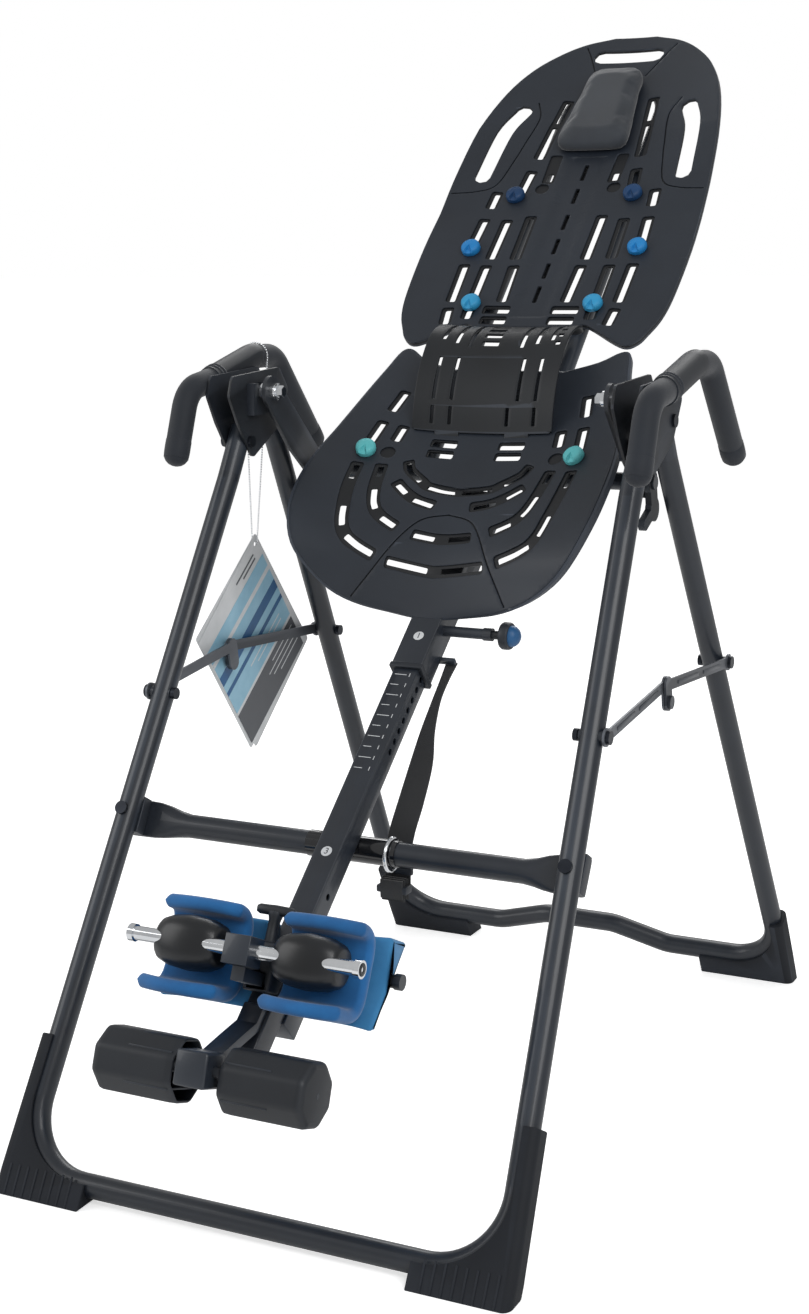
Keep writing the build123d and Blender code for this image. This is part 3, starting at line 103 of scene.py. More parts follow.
# ---- camera, light and floor ----
def aim(yaw, pitch, roll):
    """Camera turn: yaw to the left, pitch down and roll, in degrees."""
    y, p, r = radians(yaw), radians(pitch), radians(roll)
    ahead = Vector((-sin(y) * cos(p), cos(y) * cos(p), -sin(p)))
    level = Vector((cos(y), sin(y), 0))
    upright = level.cross(ahead)
    across = level * cos(r) + upright * sin(r)
    upward = upright * cos(r) - level * sin(r)
    return Matrix((across, upward, -ahead)).transposed().to_4x4()


SENSOR, LENS = 36.0, 55.91
CAMERA_AT, CAMERA_TURN = (1.20763, -2.5893, 1.19514), (26.44, 11.52, -0.64)
camera_data = bpy.data.cameras.new("camera")
camera_data.sensor_fit = "VERTICAL"
camera_data.sensor_height, camera_data.lens = SENSOR, LENS
camera = bpy.data.objects.new("camera", camera_data)
camera.matrix_world = Matrix.Translation(CAMERA_AT) @ aim(*CAMERA_TURN)
bpy.context.scene.collection.objects.link(camera)
bpy.context.scene.camera = camera
bpy.context.scene.view_settings.view_transform = "Standard"


def softbox(name, at, towards, width, height, watts):
    """Rectangular studio light, its place and size in metres."""
    lamp = bpy.data.lights.new(name, "AREA")
    lamp.shape = "RECTANGLE"
    lamp.size, lamp.size_y, lamp.energy = width, height, watts
    thing = bpy.data.objects.new(name, lamp)
    look = Vector(towards) - Vector(at)
    thing.matrix_world = Matrix.Translation(at) @ look.to_track_quat("-Z", "Y").to_matrix().to_4x4()
    bpy.context.scene.collection.objects.link(thing)


softbox("key_light", (2.6, -2.2, 3.0), (0, 0, 0.8), 1.8, 2.4, 62)
softbox("fill_light", (-3.0, -2.0, 2.2), (0, 0, 0.7), 2.2, 2.2, 34)
softbox("back_light", (-0.8, 3.0, 2.8), (0, 0, 0.9), 2.6, 1.6, 46)


# ---- materials ----
def linear(colour):
    """A written colour such as #2b3038 as linear light."""
    values = [int(colour[i:i + 2], 16) / 255 for i in (1, 3, 5)]
    return tuple(v / 12.92 if v <= 0.04045 else ((v + 0.055) / 1.055) ** 2.4 for v in values) + (1.0,)


def node(tree, kind, at, **values):
    """Shader node with its sockets or settings given by name."""
    made = tree.nodes.new(kind)
    made.location = at
    for key, value in values.items():
        if key in made.inputs:
            made.inputs[key].default_value = value
        else:
            setattr(made, key, value)
    return made


def object_point(tree, turn=0.0, stretch=(1, 1, 1)):
    """Object coordinates, turned about the width to lie along a tilted piece."""
    place = node(tree, "ShaderNodeTexCoord", (-1400, 0))
    mapping = node(tree, "ShaderNodeMapping", (-1200, 0))
    mapping.inputs["Rotation"].default_value = (radians(-turn), 0, 0)
    mapping.inputs["Scale"].default_value = stretch
    tree.links.new(place.outputs["Object"], mapping.inputs["Vector"])
    return mapping.outputs["Vector"]


def mixed(tree, factor, low, high, at):
    """Colour between two constants by a factor socket."""
    ramp = node(tree, "ShaderNodeValToRGB", at)
    ramp.color_ramp.elements[0].color = low
    ramp.color_ramp.elements[1].color = high
    tree.links.new(factor, ramp.inputs["Fac"])
    return ramp


def spread(tree, factor, low, high, at):
    """A factor socket stretched to run from low to high."""
    span = node(tree, "ShaderNodeMapRange", at)
    span.inputs["To Min"].default_value = low
    span.inputs["To Max"].default_value = high
    tree.links.new(factor, span.inputs["Value"])
    return span.outputs["Result"]


def finish(name, colour, light, rough, grain, depth, metallic=0.0, cloud=9.0, stretch=(1, 1, 1),
           turn=0.0, wear_and_highlight=None, specular=0.5, sheen=0.0, coat=0.0, pores=False):
    """Finish with a cloudy tint and roughness, a grain in bump, and lighter edges that are partly wear
    and partly a painted highlight along the rims.

    rough is (least, most) and grain the size of the grain, depth its height, in millimetres.
    """
    material = bpy.data.materials.new(name)
    material.use_nodes = True
    tree = material.node_tree
    shader = tree.nodes["Principled BSDF"]
    point = object_point(tree, turn, stretch)
    clouds = node(tree, "ShaderNodeTexNoise", (-1000, 300), Scale=cloud, Detail=5.0, Roughness=0.6)
    tree.links.new(point, clouds.inputs["Vector"])
    tint = mixed(tree, clouds.outputs["Fac"], linear(colour), linear(light), (-700, 300))
    tint.color_ramp.elements[0].position, tint.color_ramp.elements[1].position = 0.3, 0.72
    colour_out = tint.outputs["Color"]
    if pores:
        texture = node(tree, "ShaderNodeTexVoronoi", (-1000, -200), Scale=1000.0 / grain)
        height = texture.outputs["Distance"]
    else:
        texture = node(tree, "ShaderNodeTexNoise", (-1000, -200), Scale=1000.0 / grain, Detail=3.0,
                       Roughness=0.5)
        height = texture.outputs["Fac"]
    tree.links.new(point, texture.inputs["Vector"])
    # convex edges, found by Pointiness, are painted lighter: partly wear, partly a painted highlight
    # along the rims
    if wear_and_highlight:
        geometry = node(tree, "ShaderNodeNewGeometry", (-1000, 600))
        edge = mixed(tree, geometry.outputs["Pointiness"], (0, 0, 0, 1), (1, 1, 1, 1), (-700, 600))
        edge.color_ramp.elements[0].position, edge.color_ramp.elements[1].position = 0.53, 0.62
        patchy = node(tree, "ShaderNodeMath", (-450, 600), operation="MULTIPLY")
        tree.links.new(edge.outputs["Color"], patchy.inputs[0])
        tree.links.new(clouds.outputs["Fac"], patchy.inputs[1])
        rubbed_and_highlit = node(tree, "ShaderNodeMix", (-250, 400), data_type="RGBA")
        rubbed_and_highlit.inputs["B"].default_value = linear(wear_and_highlight)
        tree.links.new(patchy.outputs[0], rubbed_and_highlit.inputs["Factor"])
        tree.links.new(colour_out, rubbed_and_highlit.inputs["A"])
        colour_out = rubbed_and_highlit.outputs["Result"]
    tree.links.new(colour_out, shader.inputs["Base Color"])
    tree.links.new(spread(tree, clouds.outputs["Fac"], rough[0], rough[1], (-500, 0)),
                   shader.inputs["Roughness"])
    bump = node(tree, "ShaderNodeBump", (-300, -250), Strength=0.6, Distance=depth * MM)
    tree.links.new(height, bump.inputs["Height"])
    tree.links.new(bump.outputs["Normal"], shader.inputs["Normal"])
    shader.inputs["Metallic"].default_value = metallic
    shader.inputs["Specular IOR Level"].default_value = specular
    shader.inputs["Sheen Weight"].default_value = sheen
    shader.inputs["Coat Weight"].default_value = coat
    return material


def woven(name, colour, light, thread, depth, turn=0.0, rough=0.85):
    """Plain weave of two crossing sets of threads; thread is their pitch in millimetres."""
    material = finish(name, colour, light, (rough - 0.08, rough), 0.8, 0.05, turn=turn, sheen=0.35,
                      cloud=14.0)
    tree = material.node_tree
    point = object_point(tree, turn)
    crossing = node(tree, "ShaderNodeMath", (-600, -600), operation="MAXIMUM")
    for i, axis in enumerate(("X", "Y")):
        threads = node(tree, "ShaderNodeTexWave", (-900, -500 - 300 * i),
                       Scale=500.0 / thread, Distortion=0.4, bands_direction=axis)
        threads.inputs["Detail"].default_value = 1.0
        tree.links.new(point, threads.inputs["Vector"])
        tree.links.new(threads.outputs["Fac"], crossing.inputs[i])
    bump = node(tree, "ShaderNodeBump", (-100, -500), Strength=0.7, Distance=depth * MM)
    shader = tree.nodes["Principled BSDF"]
    tree.links.new(shader.inputs["Normal"].links[0].from_socket, bump.inputs["Normal"])
    tree.links.new(crossing.outputs[0], bump.inputs["Height"])
    tree.links.new(bump.outputs["Normal"], shader.inputs["Normal"])
    return material


# the lighter edge colours given below are partly wear and partly a painted highlight along the rims
FRAME_PAINT = finish("frame_paint", "#181d25", "#20262f", (0.34, 0.44), 0.9, 0.05, wear_and_highlight="#3c444f",
                     coat=0.2)
DARK_STEEL = finish("dark_steel", "#121519", "#191d22", (0.38, 0.5), 0.7, 0.04, wear_and_highlight="#4a4f58", coat=0.1)
ARM_STEEL = finish("arm_steel", "#2f3339", "#3d4148", (0.3, 0.44), 1.6, 0.03, metallic=0.5, cloud=22.0,
                   stretch=(1, 0.25, 1), wear_and_highlight="#7d8188")
CHROME = finish("chrome", "#d9dce0", "#f2f4f6", (0.05, 0.12), 2.0, 0.01, metallic=1.0, cloud=20.0)
ZINC = finish("bolt_zinc", "#24272d", "#363a42", (0.3, 0.42), 0.8, 0.03, metallic=0.8, cloud=30.0)
PANEL = finish("moulded_panel", "#1b212a", "#232a34", (0.42, 0.54), 0.7, 0.08, wear_and_highlight="#4d5460",
               turn=BED_TILT, cloud=6.0)
# painted shade: the base sheet, seen in the panels' recesses and holes, is darker than the panel to
# stand in for the shade in them
RECESS_SHADE = finish("moulded_recess_painted_shade", "#0b0d11", "#101318", (0.5, 0.6), 0.7, 0.06, turn=BED_TILT,
                    cloud=8.0)
BRIDGE = finish("bridge_plastic", "#0f1216", "#15191e", (0.42, 0.52), 0.6, 0.05, wear_and_highlight="#3e444e",
                turn=BED_TILT)
PLASTIC = finish("black_plastic", "#14181e", "#1b2027", (0.42, 0.55), 0.7, 0.06, wear_and_highlight="#434953")
SHELL = finish("shell_plastic", "#0e1013", "#15181c", (0.28, 0.4), 1.4, 0.05, wear_and_highlight="#3a3f47", turn=64.04)
GLOSS = finish("gloss_black", "#0d0e11", "#15171b", (0.08, 0.16), 3.0, 0.02, coat=0.5)
RUBBER = finish("rubber", "#12151b", "#1a1e25", (0.62, 0.78), 0.8, 0.10, wear_and_highlight="#3a3f48", specular=0.35)
GRIP_FOAM = finish("grip_foam", "#1b1f26", "#242931", (0.6, 0.75), 0.7, 0.12, pores=True, specular=0.35,
                   sheen=0.15)
BLUE_FOAM = finish("blue_foam", "#1a588f", "#216eae", (0.72, 0.86), 1.1, 0.16, pores=True, cloud=16.0,
                   specular=0.3, sheen=0.3)
LIGHT_FOAM = finish("light_blue_foam", "#2f74a6", "#3f88bb", (0.72, 0.86), 1.1, 0.16, pores=True,
                    cloud=16.0, specular=0.3, sheen=0.3)
NODE_COLOURS = {"navy": ("#0f3358", "#17406c"), "blue": ("#1a78bb", "#2288cc"),
                "light": ("#2b92c4", "#3ba3d2"), "teal": ("#59b9be", "#6cc9cc")}
NODE_FINISHES = {name: finish(f"node_{name}", *pair, (0.45, 0.6), 1.2, 0.06, cloud=30.0, specular=0.4)
                 for name, pair in NODE_COLOURS.items()}
KNOB_BLUE = finish("knob_blue", "#1c4f7c", "#245f92", (0.4, 0.5), 1.0, 0.05, cloud=24.0)
PILLOW_CLOTH = woven("pillow_fabric", "#262b32", "#30363e", 1.1, 0.14, turn=BED_TILT)
WEBBING = woven("webbing", "#15171a", "#1e2024", 1.6, 0.3, turn=52.0, rough=0.8)
MARK_WHITE = finish("printed_mark", "#c8cbce", "#d8dadc", (0.45, 0.55), 1.0, 0.01, cloud=60.0)


# ---- floor and surroundings: pale to the camera, plainer as light on the object ----
WORLD_GLOW, WORLD_SEEN, FLOOR_LIFT, FLOOR_HALF = 0.5, 1.0, 0.55, 60.0


def seen_by_camera(tree, strength, plain, seen):
    """Gives a strength socket one value for camera rays and a plainer one for all others."""
    ray = node(tree, "ShaderNodeLightPath", (-600, 0))
    tree.links.new(spread(tree, ray.outputs["Is Camera Ray"], plain, seen, (-300, 0)), strength)


world = bpy.data.worlds.new("studio")
bpy.context.scene.world = world
world.use_nodes = True
surround = world.node_tree.nodes["Background"]
surround.inputs["Color"].default_value = (1, 1, 1, 1)
seen_by_camera(world.node_tree, surround.inputs["Strength"], WORLD_GLOW, WORLD_SEEN)
floor_mesh = bpy.data.meshes.new("floor")
bm = bmesh.new()
bmesh.ops.create_grid(bm, x_segments=1, y_segments=1, size=FLOOR_HALF)
bm.to_mesh(floor_mesh)
bm.free()
floor = bpy.data.objects.new("floor", floor_mesh)
floor_paint = bpy.data.materials.new("floor")
floor_paint.use_nodes = True
floor_shader = floor_paint.node_tree.nodes["Principled BSDF"]
floor_shader.inputs["Base Color"].default_value = (0.93, 0.93, 0.93, 1)
floor_shader.inputs["Roughness"].default_value = 0.9
floor_shader.inputs["Emission Color"].default_value = (1, 1, 1, 1)
seen_by_camera(floor_paint.node_tree, floor_shader.inputs["Emission Strength"], 0.0, FLOOR_LIFT)
floor_mesh.materials.append(floor_paint)
bpy.context.scene.collection.objects.link(floor)


# ---- mesh helpers ----
SHARP = radians(30)         # edges that turn further than this are rounded


def add_piece(name, mesh, body, material, replaces=(), smooth=40):
    """Shows a mesh as a piece of the object that moves with a body."""
    for face in mesh.polygons:
        face.use_smooth = True
    mesh.set_sharp_from_angle(angle=radians(smooth))
    piece = bpy.data.objects.new(name, mesh)
    bpy.context.scene.collection.objects.link(piece)
    if not mesh.materials:
        mesh.materials.append(material)
    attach(piece, body)
    if replaces:
        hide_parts(*replaces)
    return piece


def close_mesh(name, bm, place=None):
    """Mesh from a bmesh, put in its place, with its faces outwards."""
    bmesh.ops.remove_doubles(bm, verts=bm.verts, dist=1e-5)
    bmesh.ops.recalc_face_normals(bm, faces=bm.faces)
    if place is not None:
        bmesh.ops.transform(bm, matrix=place, verts=bm.verts)
        if place.determinant() < 0:
            bmesh.ops.reverse_faces(bm, faces=bm.faces)
    mesh = bpy.data.meshes.new(name)
    bm.to_mesh(mesh)
    bm.free()
    return mesh


def pour(source, into):
    """Adds one bmesh to another and frees the first."""
    part = bpy.data.meshes.new("part")
    source.to_mesh(part)
    source.free()
    into.from_mesh(part)
    bpy.data.meshes.remove(part)


def as_it_stands(thing):
    """New mesh of an object with its modifiers applied."""
    settled_scene = bpy.context.evaluated_depsgraph_get()
    return bpy.data.meshes.new_from_object(thing.evaluated_get(settled_scene))


def curve_mesh(curve):
    """Mesh of a filled curve, which is removed."""
    holder = bpy.data.objects.new("outline", curve)
    bpy.context.scene.collection.objects.link(holder)
    mesh = as_it_stands(holder)
    bpy.data.objects.remove(holder)
    bpy.data.curves.remove(curve)
    return mesh


def node_bmesh(name):
    """A CAD node's surface as one merged bmesh, in metres."""
    bm = bmesh.new()
    bm.from_mesh(nodes[name].data)
    bmesh.ops.remove_doubles(bm, verts=bm.verts, dist=2e-6)
    bmesh.ops.dissolve_limit(bm, angle_limit=radians(0.6), verts=bm.verts, edges=bm.edges,
                             delimit={"NORMAL"})
    return bm


def eased(name, width, material, slot, shortest=4.0, segments=2, keep=None):
    """A node with its sharp edges over a shortest length rounded by width, in its place."""
    bm = node_bmesh(name)
    sharp = [e for e in bm.edges if len(e.link_faces) == 2 and e.calc_face_angle(0) > SHARP
             and e.calc_length() > shortest * MM and (keep is None or keep(e))]
    if sharp:
        bmesh.ops.bevel(bm, geom=sharp, offset=width * MM, offset_type="OFFSET", segments=segments,
                        profile=0.5, affect="EDGES", clamp_overlap=True, material=-1)
    mesh = bpy.data.meshes.new(f"{name}_eased")
    bm.to_mesh(mesh)
    bm.free()
    return add_piece(f"{name}_eased", mesh, nodes[name]["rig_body"], material, (name,), 32)


def section_ring(bm, place, width, height, power, count=32):
    """Ring of vertices: an ellipse, or a rounded rectangle for a power above 2."""
    ring = []
    for i in range(count):
        a = 2 * pi * i / count
        c, s = cos(a), sin(a)
        x = (abs(c) ** (2 / power)) * (1 if c >= 0 else -1) * width
        y = (abs(s) ** (2 / power)) * (1 if s >= 0 else -1) * height
        ring.append(bm.verts.new(place @ Vector((x, y, 0))))
    return [bm.edges.new((ring[i], ring[(i + 1) % count])) for i in range(count)], ring


def loft(bm, rings):
    """Closed skin over rings of (place, width, height, power)."""
    made = [section_ring(bm, *ring) for ring in rings]
    for (near, _), (far, _) in zip(made, made[1:]):
        bmesh.ops.bridge_loops(bm, edges=near + far)
    for _, ring in (made[0], made[-1]):
        bm.faces.new(ring)


def skin(bm, rows):
    """Closed solid over rows of vertices that each go once round it."""
    count = len(rows[0])
    for a, b in zip(rows, rows[1:]):
        for i in range(count):
            bm.faces.new((a[i], a[(i + 1) % count], b[(i + 1) % count], b[i]))
    bm.faces.new(rows[0])
    bm.faces.new(rows[-1])


def facing(at, direction, across=(1, 0, 0)):
    """Plane at a point, square to a direction."""
    z = Vector(direction).normalized()
    x = Vector(across)
    x = (x - z * x.dot(z)).normalized()
    return Matrix.Translation(at) @ Matrix((x, z.cross(x), z)).transposed().to_4x4()


def bar(bm, place, low, high, radius=0.0):
    """Block between two corners of a frame, with its edges rounded."""
    size = [h - l for l, h in zip(low, high)]
    middle = [(l + h) / 2 for l, h in zip(low, high)]
    block = place @ Matrix.Translation(middle) @ Matrix.Diagonal((*size, 1))
    made = bmesh.ops.create_cube(bm, size=1.0, matrix=block)
    if radius:
        edges = list({e for v in made["verts"] for e in v.link_edges})
        scale = place.to_scale()[0]
        bmesh.ops.bevel(bm, geom=edges, offset=radius * scale, offset_type="OFFSET", segments=2,
                        profile=0.5, affect="EDGES", clamp_overlap=True, material=-1)


def cylinder(bm, place, radius, low, high, bevel, count=32):
    """Round bar along a frame's z from low to high, with its two rims rounded."""
    matrix = place @ Matrix.Translation((0, 0, (low + high) / 2))
    made = bmesh.ops.create_cone(bm, cap_ends=True, segments=count, radius1=radius, radius2=radius,
                                 depth=high - low, matrix=matrix)
    rims = {e for v in made["verts"] for e in v.link_edges
            if any(len(f.verts) == count for f in e.link_faces)}
    scale = place.to_scale()[0]
    bmesh.ops.bevel(bm, geom=list(rims), offset=bevel * scale, offset_type="OFFSET", segments=3,
                    profile=0.5, affect="EDGES", clamp_overlap=True, material=-1)


def across(frame_matrix, x, along, out, turn=1):
    """Frame whose z runs across the width from a point (x, along, out) of a frame."""
    return frame_matrix @ Matrix.Translation((x, along, out)) @ Matrix.Rotation(turn * pi / 2, 4, "Y")


# ---- outlines for flat sheets with holes ----
def smooth_path(points, steps=5):
    """Curve through points, as short straight lengths."""
    spots = [Vector(p) for p in points]
    if len(spots) < 3:
        return spots
    ends = [spots[0] * 2 - spots[1], *spots, spots[-1] * 2 - spots[-2]]
    made = []
    for a, b, c, d in zip(ends, ends[1:], ends[2:], ends[3:]):
        for i in range(steps):
            t = i / steps
            made.append(0.5 * (2 * b + (c - a) * t + (2 * a - 5 * b + 4 * c - d) * t * t
                               + (3 * b - a - 3 * c + d) * t ** 3))
    return made + [spots[-1]]


def slot_loop(points, half, corner=0.45):
    """Closed outline of a slot of a given half width along a path, with rounded ends."""
    path = [Vector(p) for p in points]
    normals = []
    for i, p in enumerate(path):
        run = (path[min(i + 1, len(path) - 1)] - path[max(i - 1, 0)]).normalized()
        normals.append(Vector((-run.y, run.x)))
    round_by = half * corner
    loop = []
    for order, sign in ((list(range(len(path))), 1), (list(range(len(path)))[::-1], -1)):
        loop += [path[i] + normals[i] * sign * half for i in order]
        last, n = path[order[-1]], normals[order[-1]] * sign
        along = Vector((n.y, -n.x))
        for side, turns in ((1, (45, 90)), (-1, (90, 45))):
            for r in map(radians, turns):
                loop.append(last + n * side * (half - round_by + round_by * cos(r))
                            + along * round_by * sin(r))
    return loop


def sheet_bmesh(loops, low, high, rim, pitch=1.0, box=()):
    """Flat sheet with holes: first loop outside, rounded rims, cut into a grid over a box."""
    curve = bpy.data.curves.new("outline", "CURVE")
    curve.dimensions, curve.fill_mode = "2D", "BOTH"
    curve.extrude = (high - low) / 2 - rim
    curve.bevel_depth, curve.bevel_resolution, curve.offset = rim, 1, -rim
    for loop in loops:
        line = curve.splines.new("POLY")
        line.points.add(len(loop) - 1)
        for target, p in zip(line.points, loop):
            target.co = (p[0], p[1], 0, 1)
        line.use_cyclic_u = True
    flat = curve_mesh(curve)
    bm = bmesh.new()
    bm.from_mesh(flat)
    bpy.data.meshes.remove(flat)
    bmesh.ops.translate(bm, vec=(0, 0, (high + low) / 2), verts=bm.verts)
    bmesh.ops.remove_doubles(bm, verts=bm.verts, dist=0.01)
    for axis, (start, stop) in enumerate(box):
        at = start + pitch / 2
        while at < stop:
            spot, square = [0, 0, 0], [0, 0, 0]
            spot[axis], square[axis] = at, 1
            bmesh.ops.bisect_plane(bm, geom=bm.verts[:] + bm.edges[:] + bm.faces[:], dist=0.02,
                                   plane_co=spot, plane_no=square)
            at += pitch
    return bm


# ---- the lying surface: x across, s up the bed, h out of the surface ----
def between(table, s, column):
    """Smooth value of a column at s in a table sorted by falling first column."""
    i = 0
    while i < len(table) - 2 and s < table[i + 1][0]:
        i += 1
    (s1, *_), (s2, *_) = table[i], table[i + 1]
    before, after = table[max(i - 1, 0)], table[min(i + 2, len(table) - 1)]
    v0, v1, v2, v3 = before[column], table[i][column], table[i + 1][column], after[column]
    t = max((s - s1) / (s2 - s1), -0.5)
    m1 = (v2 - v0) * (s2 - s1) / ((s2 - before[0]) or 1)
    m2 = (v3 - v1) * (s2 - s1) / ((after[0] - s1) or 1)
    if t > 1:
        return v2 + m2 * (t - 1)
    return ((2 * t ** 3 - 3 * t ** 2 + 1) * v1 + (t ** 3 - 2 * t ** 2 + t) * m1
            + (3 * t ** 2 - 2 * t ** 3) * v2 + (t ** 3 - t ** 2) * m2)


seat_rows = []
reach = SEAT_SECTIONS[0][0] - BED_START
for k, (up, out, half, rise, slope) in enumerate(SEAT_SECTIONS):
    if k:
        reach -= hypot(up - SEAT_SECTIONS[k - 1][0], out - SEAT_SECTIONS[k - 1][1])
    seat_rows.append((reach, up, out, half, rise, slope))


def on_seat(x, s, h):
    """Point of the seat, x across and s up it, h out of its surface."""
    up, out, half, rise, slope = (between(seat_rows, s, c) for c in range(1, 6))
    lift = rise * (x / half) ** 2
    steep = 2 * rise * x / half ** 2
    flat = 1 / hypot(1, steep)
    a = radians(slope)
    side, height = x - h * steep * flat, lift + h * flat
    return BED @ Vector((side, up - sin(a) * height, out + cos(a) * height))


SPINE_HALF, SPINE_EASE, SPINE_LOW, SPINE_HIGH, SPINE_DEPTH = 30, 6, -52, 300, 2.2


def on_back(x, s, h):
    """Point of the backrest, x across and s up it, h out of its surface."""
    up = s + BED_START
    for (low, low_rise), (high, high_rise) in zip(TROUGH, TROUGH[1:]):
        if up <= high:
            break
    edge = low_rise + (high_rise - low_rise) * (up - low) / (high - low)
    if abs(x) < SPINE_HALF and SPINE_LOW < s < SPINE_HIGH:
        h -= SPINE_DEPTH * min(1, (SPINE_HALF - abs(x)) / SPINE_EASE, (s - SPINE_LOW) / SPINE_EASE)
    steep = 2 * edge * x / TROUGH_HALF ** 2
    flat = 1 / hypot(1, steep)
    depth = -BACK_DEPTH + edge * (x / TROUGH_HALF) ** 2
    return BED @ Vector((x - h * steep * flat, up, depth + h * flat))


def lay(bm, surface):
    """Moves a flat sheet's vertices onto the lying surface."""
    for v in bm.verts:
        v.co = surface(*v.co)


# ---- backrest ----
def both(channels):
    """Paths on the left and on the right."""
    return [[(sign * x, s) for x, s in path] for path in channels for sign in (-1, 1)]


def closed_outline(right):
    """Smooth closed outline from its right half."""
    half = smooth_path(right, 4)
    return [tuple(p) for p in half] + [(-p.x, p.y) for p in reversed(half)]


BACK_RIGHT = [(84, -69), (100, -66), (150, -98), (172, -106), (188, -96.5), (197, -80), (210, -48),
              (217, 0), (220, 94), (217, 180), (213, 253), (202, 351), (181, 438), (153, 499),
              (117, 543), (80, 571), (36, 587)]
BACK_LINE = closed_outline(BACK_RIGHT)
RECESS_HALF, SLOT_HALF = 10.0, 4.9
# paths of the recessed channels up each side; each pair of points is one open slot
BACK_CHANNELS = both([
    [(73, 428), (77, 382), (79, 368), (85, 299)],
    [(88, 264), (92, 222)],
    [(132, 216), (134, 188)],
    [(136, 157), (139, 108)],
    [(138, 57), (136, -15)],
    [(135, -36), (132, -62)],
    [(97, 155), (99, 77)],
    [(101, 55), (101, -10)],
    [(100, -36), (100, -50)],
    [(59, 163), (58, 76)],
    [(55, 55), (52, -14)],
])
BACK_BLIND = both([[(56, 300), (55, 244)]])
BACK_BARS = both([[(37, -35), (74, -35)], [(37, -57), (72, -57)]])
BACK_DASHES = [[(0, a), (0, b)] for a, b in ((282, 250), (228, 198), (170, 140), (117, 87), (64, 35),
                                             (15, -16))]
BACK_HANDS = both([[(140, 403), (158, 351), (168, 251)]])
BACK_GRIP = [[(-46, 540), (46, 540)]]
# these holes go through the top sheet only, so the base sheet's painted shade shows in them
BACK_HOLES = [(-60, 228), (60, 228)]
BACK_CREASES = both([
    [(210, 214), (168, 220), (139, 236), (125, 290), (119, 324), (110, 386), (122, 424)],
    [(78, 562), (66, 540), (42, 488)],
])
GROOVE, HOLE_R = 0.9, 11


def disc_loop(at, radius, count=20):
    """Round outline."""
    return [(at[0] + radius * cos(2 * pi * i / count),
             at[1] + radius * sin(2 * pi * i / count)) for i in range(count)]


def slot_pairs(channels):
    """The open slots of channels, from each pair of their points."""
    return [path[i:i + 2] for path in channels for i in range(0, len(path), 2)]


def smooth_slots(*groups):
    """Slot outlines along smooth curves, from groups of (paths, half width, corner)."""
    return [slot_loop(smooth_path(p), *width) for paths, *width in groups for p in paths]


BACK_BOX = ((-226, 226), (-110, 600))
back_hands = (BACK_HANDS, 13, 0.9), (BACK_GRIP, 15, 0.9)
back_top = [BACK_LINE] + [slot_loop(p, RECESS_HALF) for p in BACK_CHANNELS + BACK_BLIND]
back_top += smooth_slots((BACK_BARS, 8.5), (BACK_DASHES, 3.4), *back_hands)
back_top += [disc_loop(p, HOLE_R) for p in BACK_HOLES] + smooth_slots((BACK_CREASES, GROOVE))
back_base = [BACK_LINE] + smooth_slots((slot_pairs(BACK_CHANNELS), SLOT_HALF),
                                       ([[(-55, 262), (-55, 248)], [(55, 262), (55, 248)]], SLOT_HALF),
                                       (BACK_BARS, 5), (BACK_DASHES, 3.2), *back_hands)
# low, high, rim and pitch of the cuts of a panel's top sheet and of its base sheet
PANEL_SHEETS = (-2.6, 0, 1.2, 7.0), (-6.2, -2.5, 0.5, 11.0)


def panel(name, surface, top, base, box, replaces, lip):
    """Moulded panel: a sheet with recesses over one with the open slots, whose darker colour is painted
    shade in the recesses and holes, and a rolled lip.
    """
    both_layers = bmesh.new()
    for index, (loops, sizes) in enumerate(zip((top, base), PANEL_SHEETS)):
        bm = sheet_bmesh(loops, *sizes, box)
        lay(bm, surface)
        # material 1, on the base sheet, is the painted shade of the recesses and holes
        for face in bm.faces:
            face.material_index = index
        pour(bm, both_layers)
    outline = top[0]
    bm = bmesh.new()
    count = len(outline)
    rows = []
    for inset_by, height in ((0.2, -1.5), (0.4, -lip + 1.2), (1.6, -lip), (3.0, -lip + 0.8), (3.4, -3)):
        ring = []
        for i in range(count):
            before, here, after = (Vector(outline[(i + d) % count]) for d in (-1, 0, 1))
            run = (after - before).normalized()
            p = here + Vector((-run.y, run.x)) * inset_by
            ring.append(bm.verts.new(surface(p.x, p.y, height)))
        rows.append([bm.edges.new((ring[i], ring[(i + 1) % count])) for i in range(count)])
    for near, far in zip(rows, rows[1:] + rows[:1]):
        bmesh.ops.bridge_loops(bm, edges=near + far)
    bmesh.ops.recalc_face_normals(bm, faces=bm.faces)
    pour(bm, both_layers)
    mesh = bpy.data.meshes.new(name)
    both_layers.to_mesh(mesh)
    both_layers.free()
    mesh.materials.append(PANEL)
    mesh.materials.append(RECESS_SHADE)
    add_piece(name, mesh, "table", PANEL, (replaces,), 35)


panel("backrest_panel", on_back, back_top, back_base, BACK_BOX, "backrest", 11)

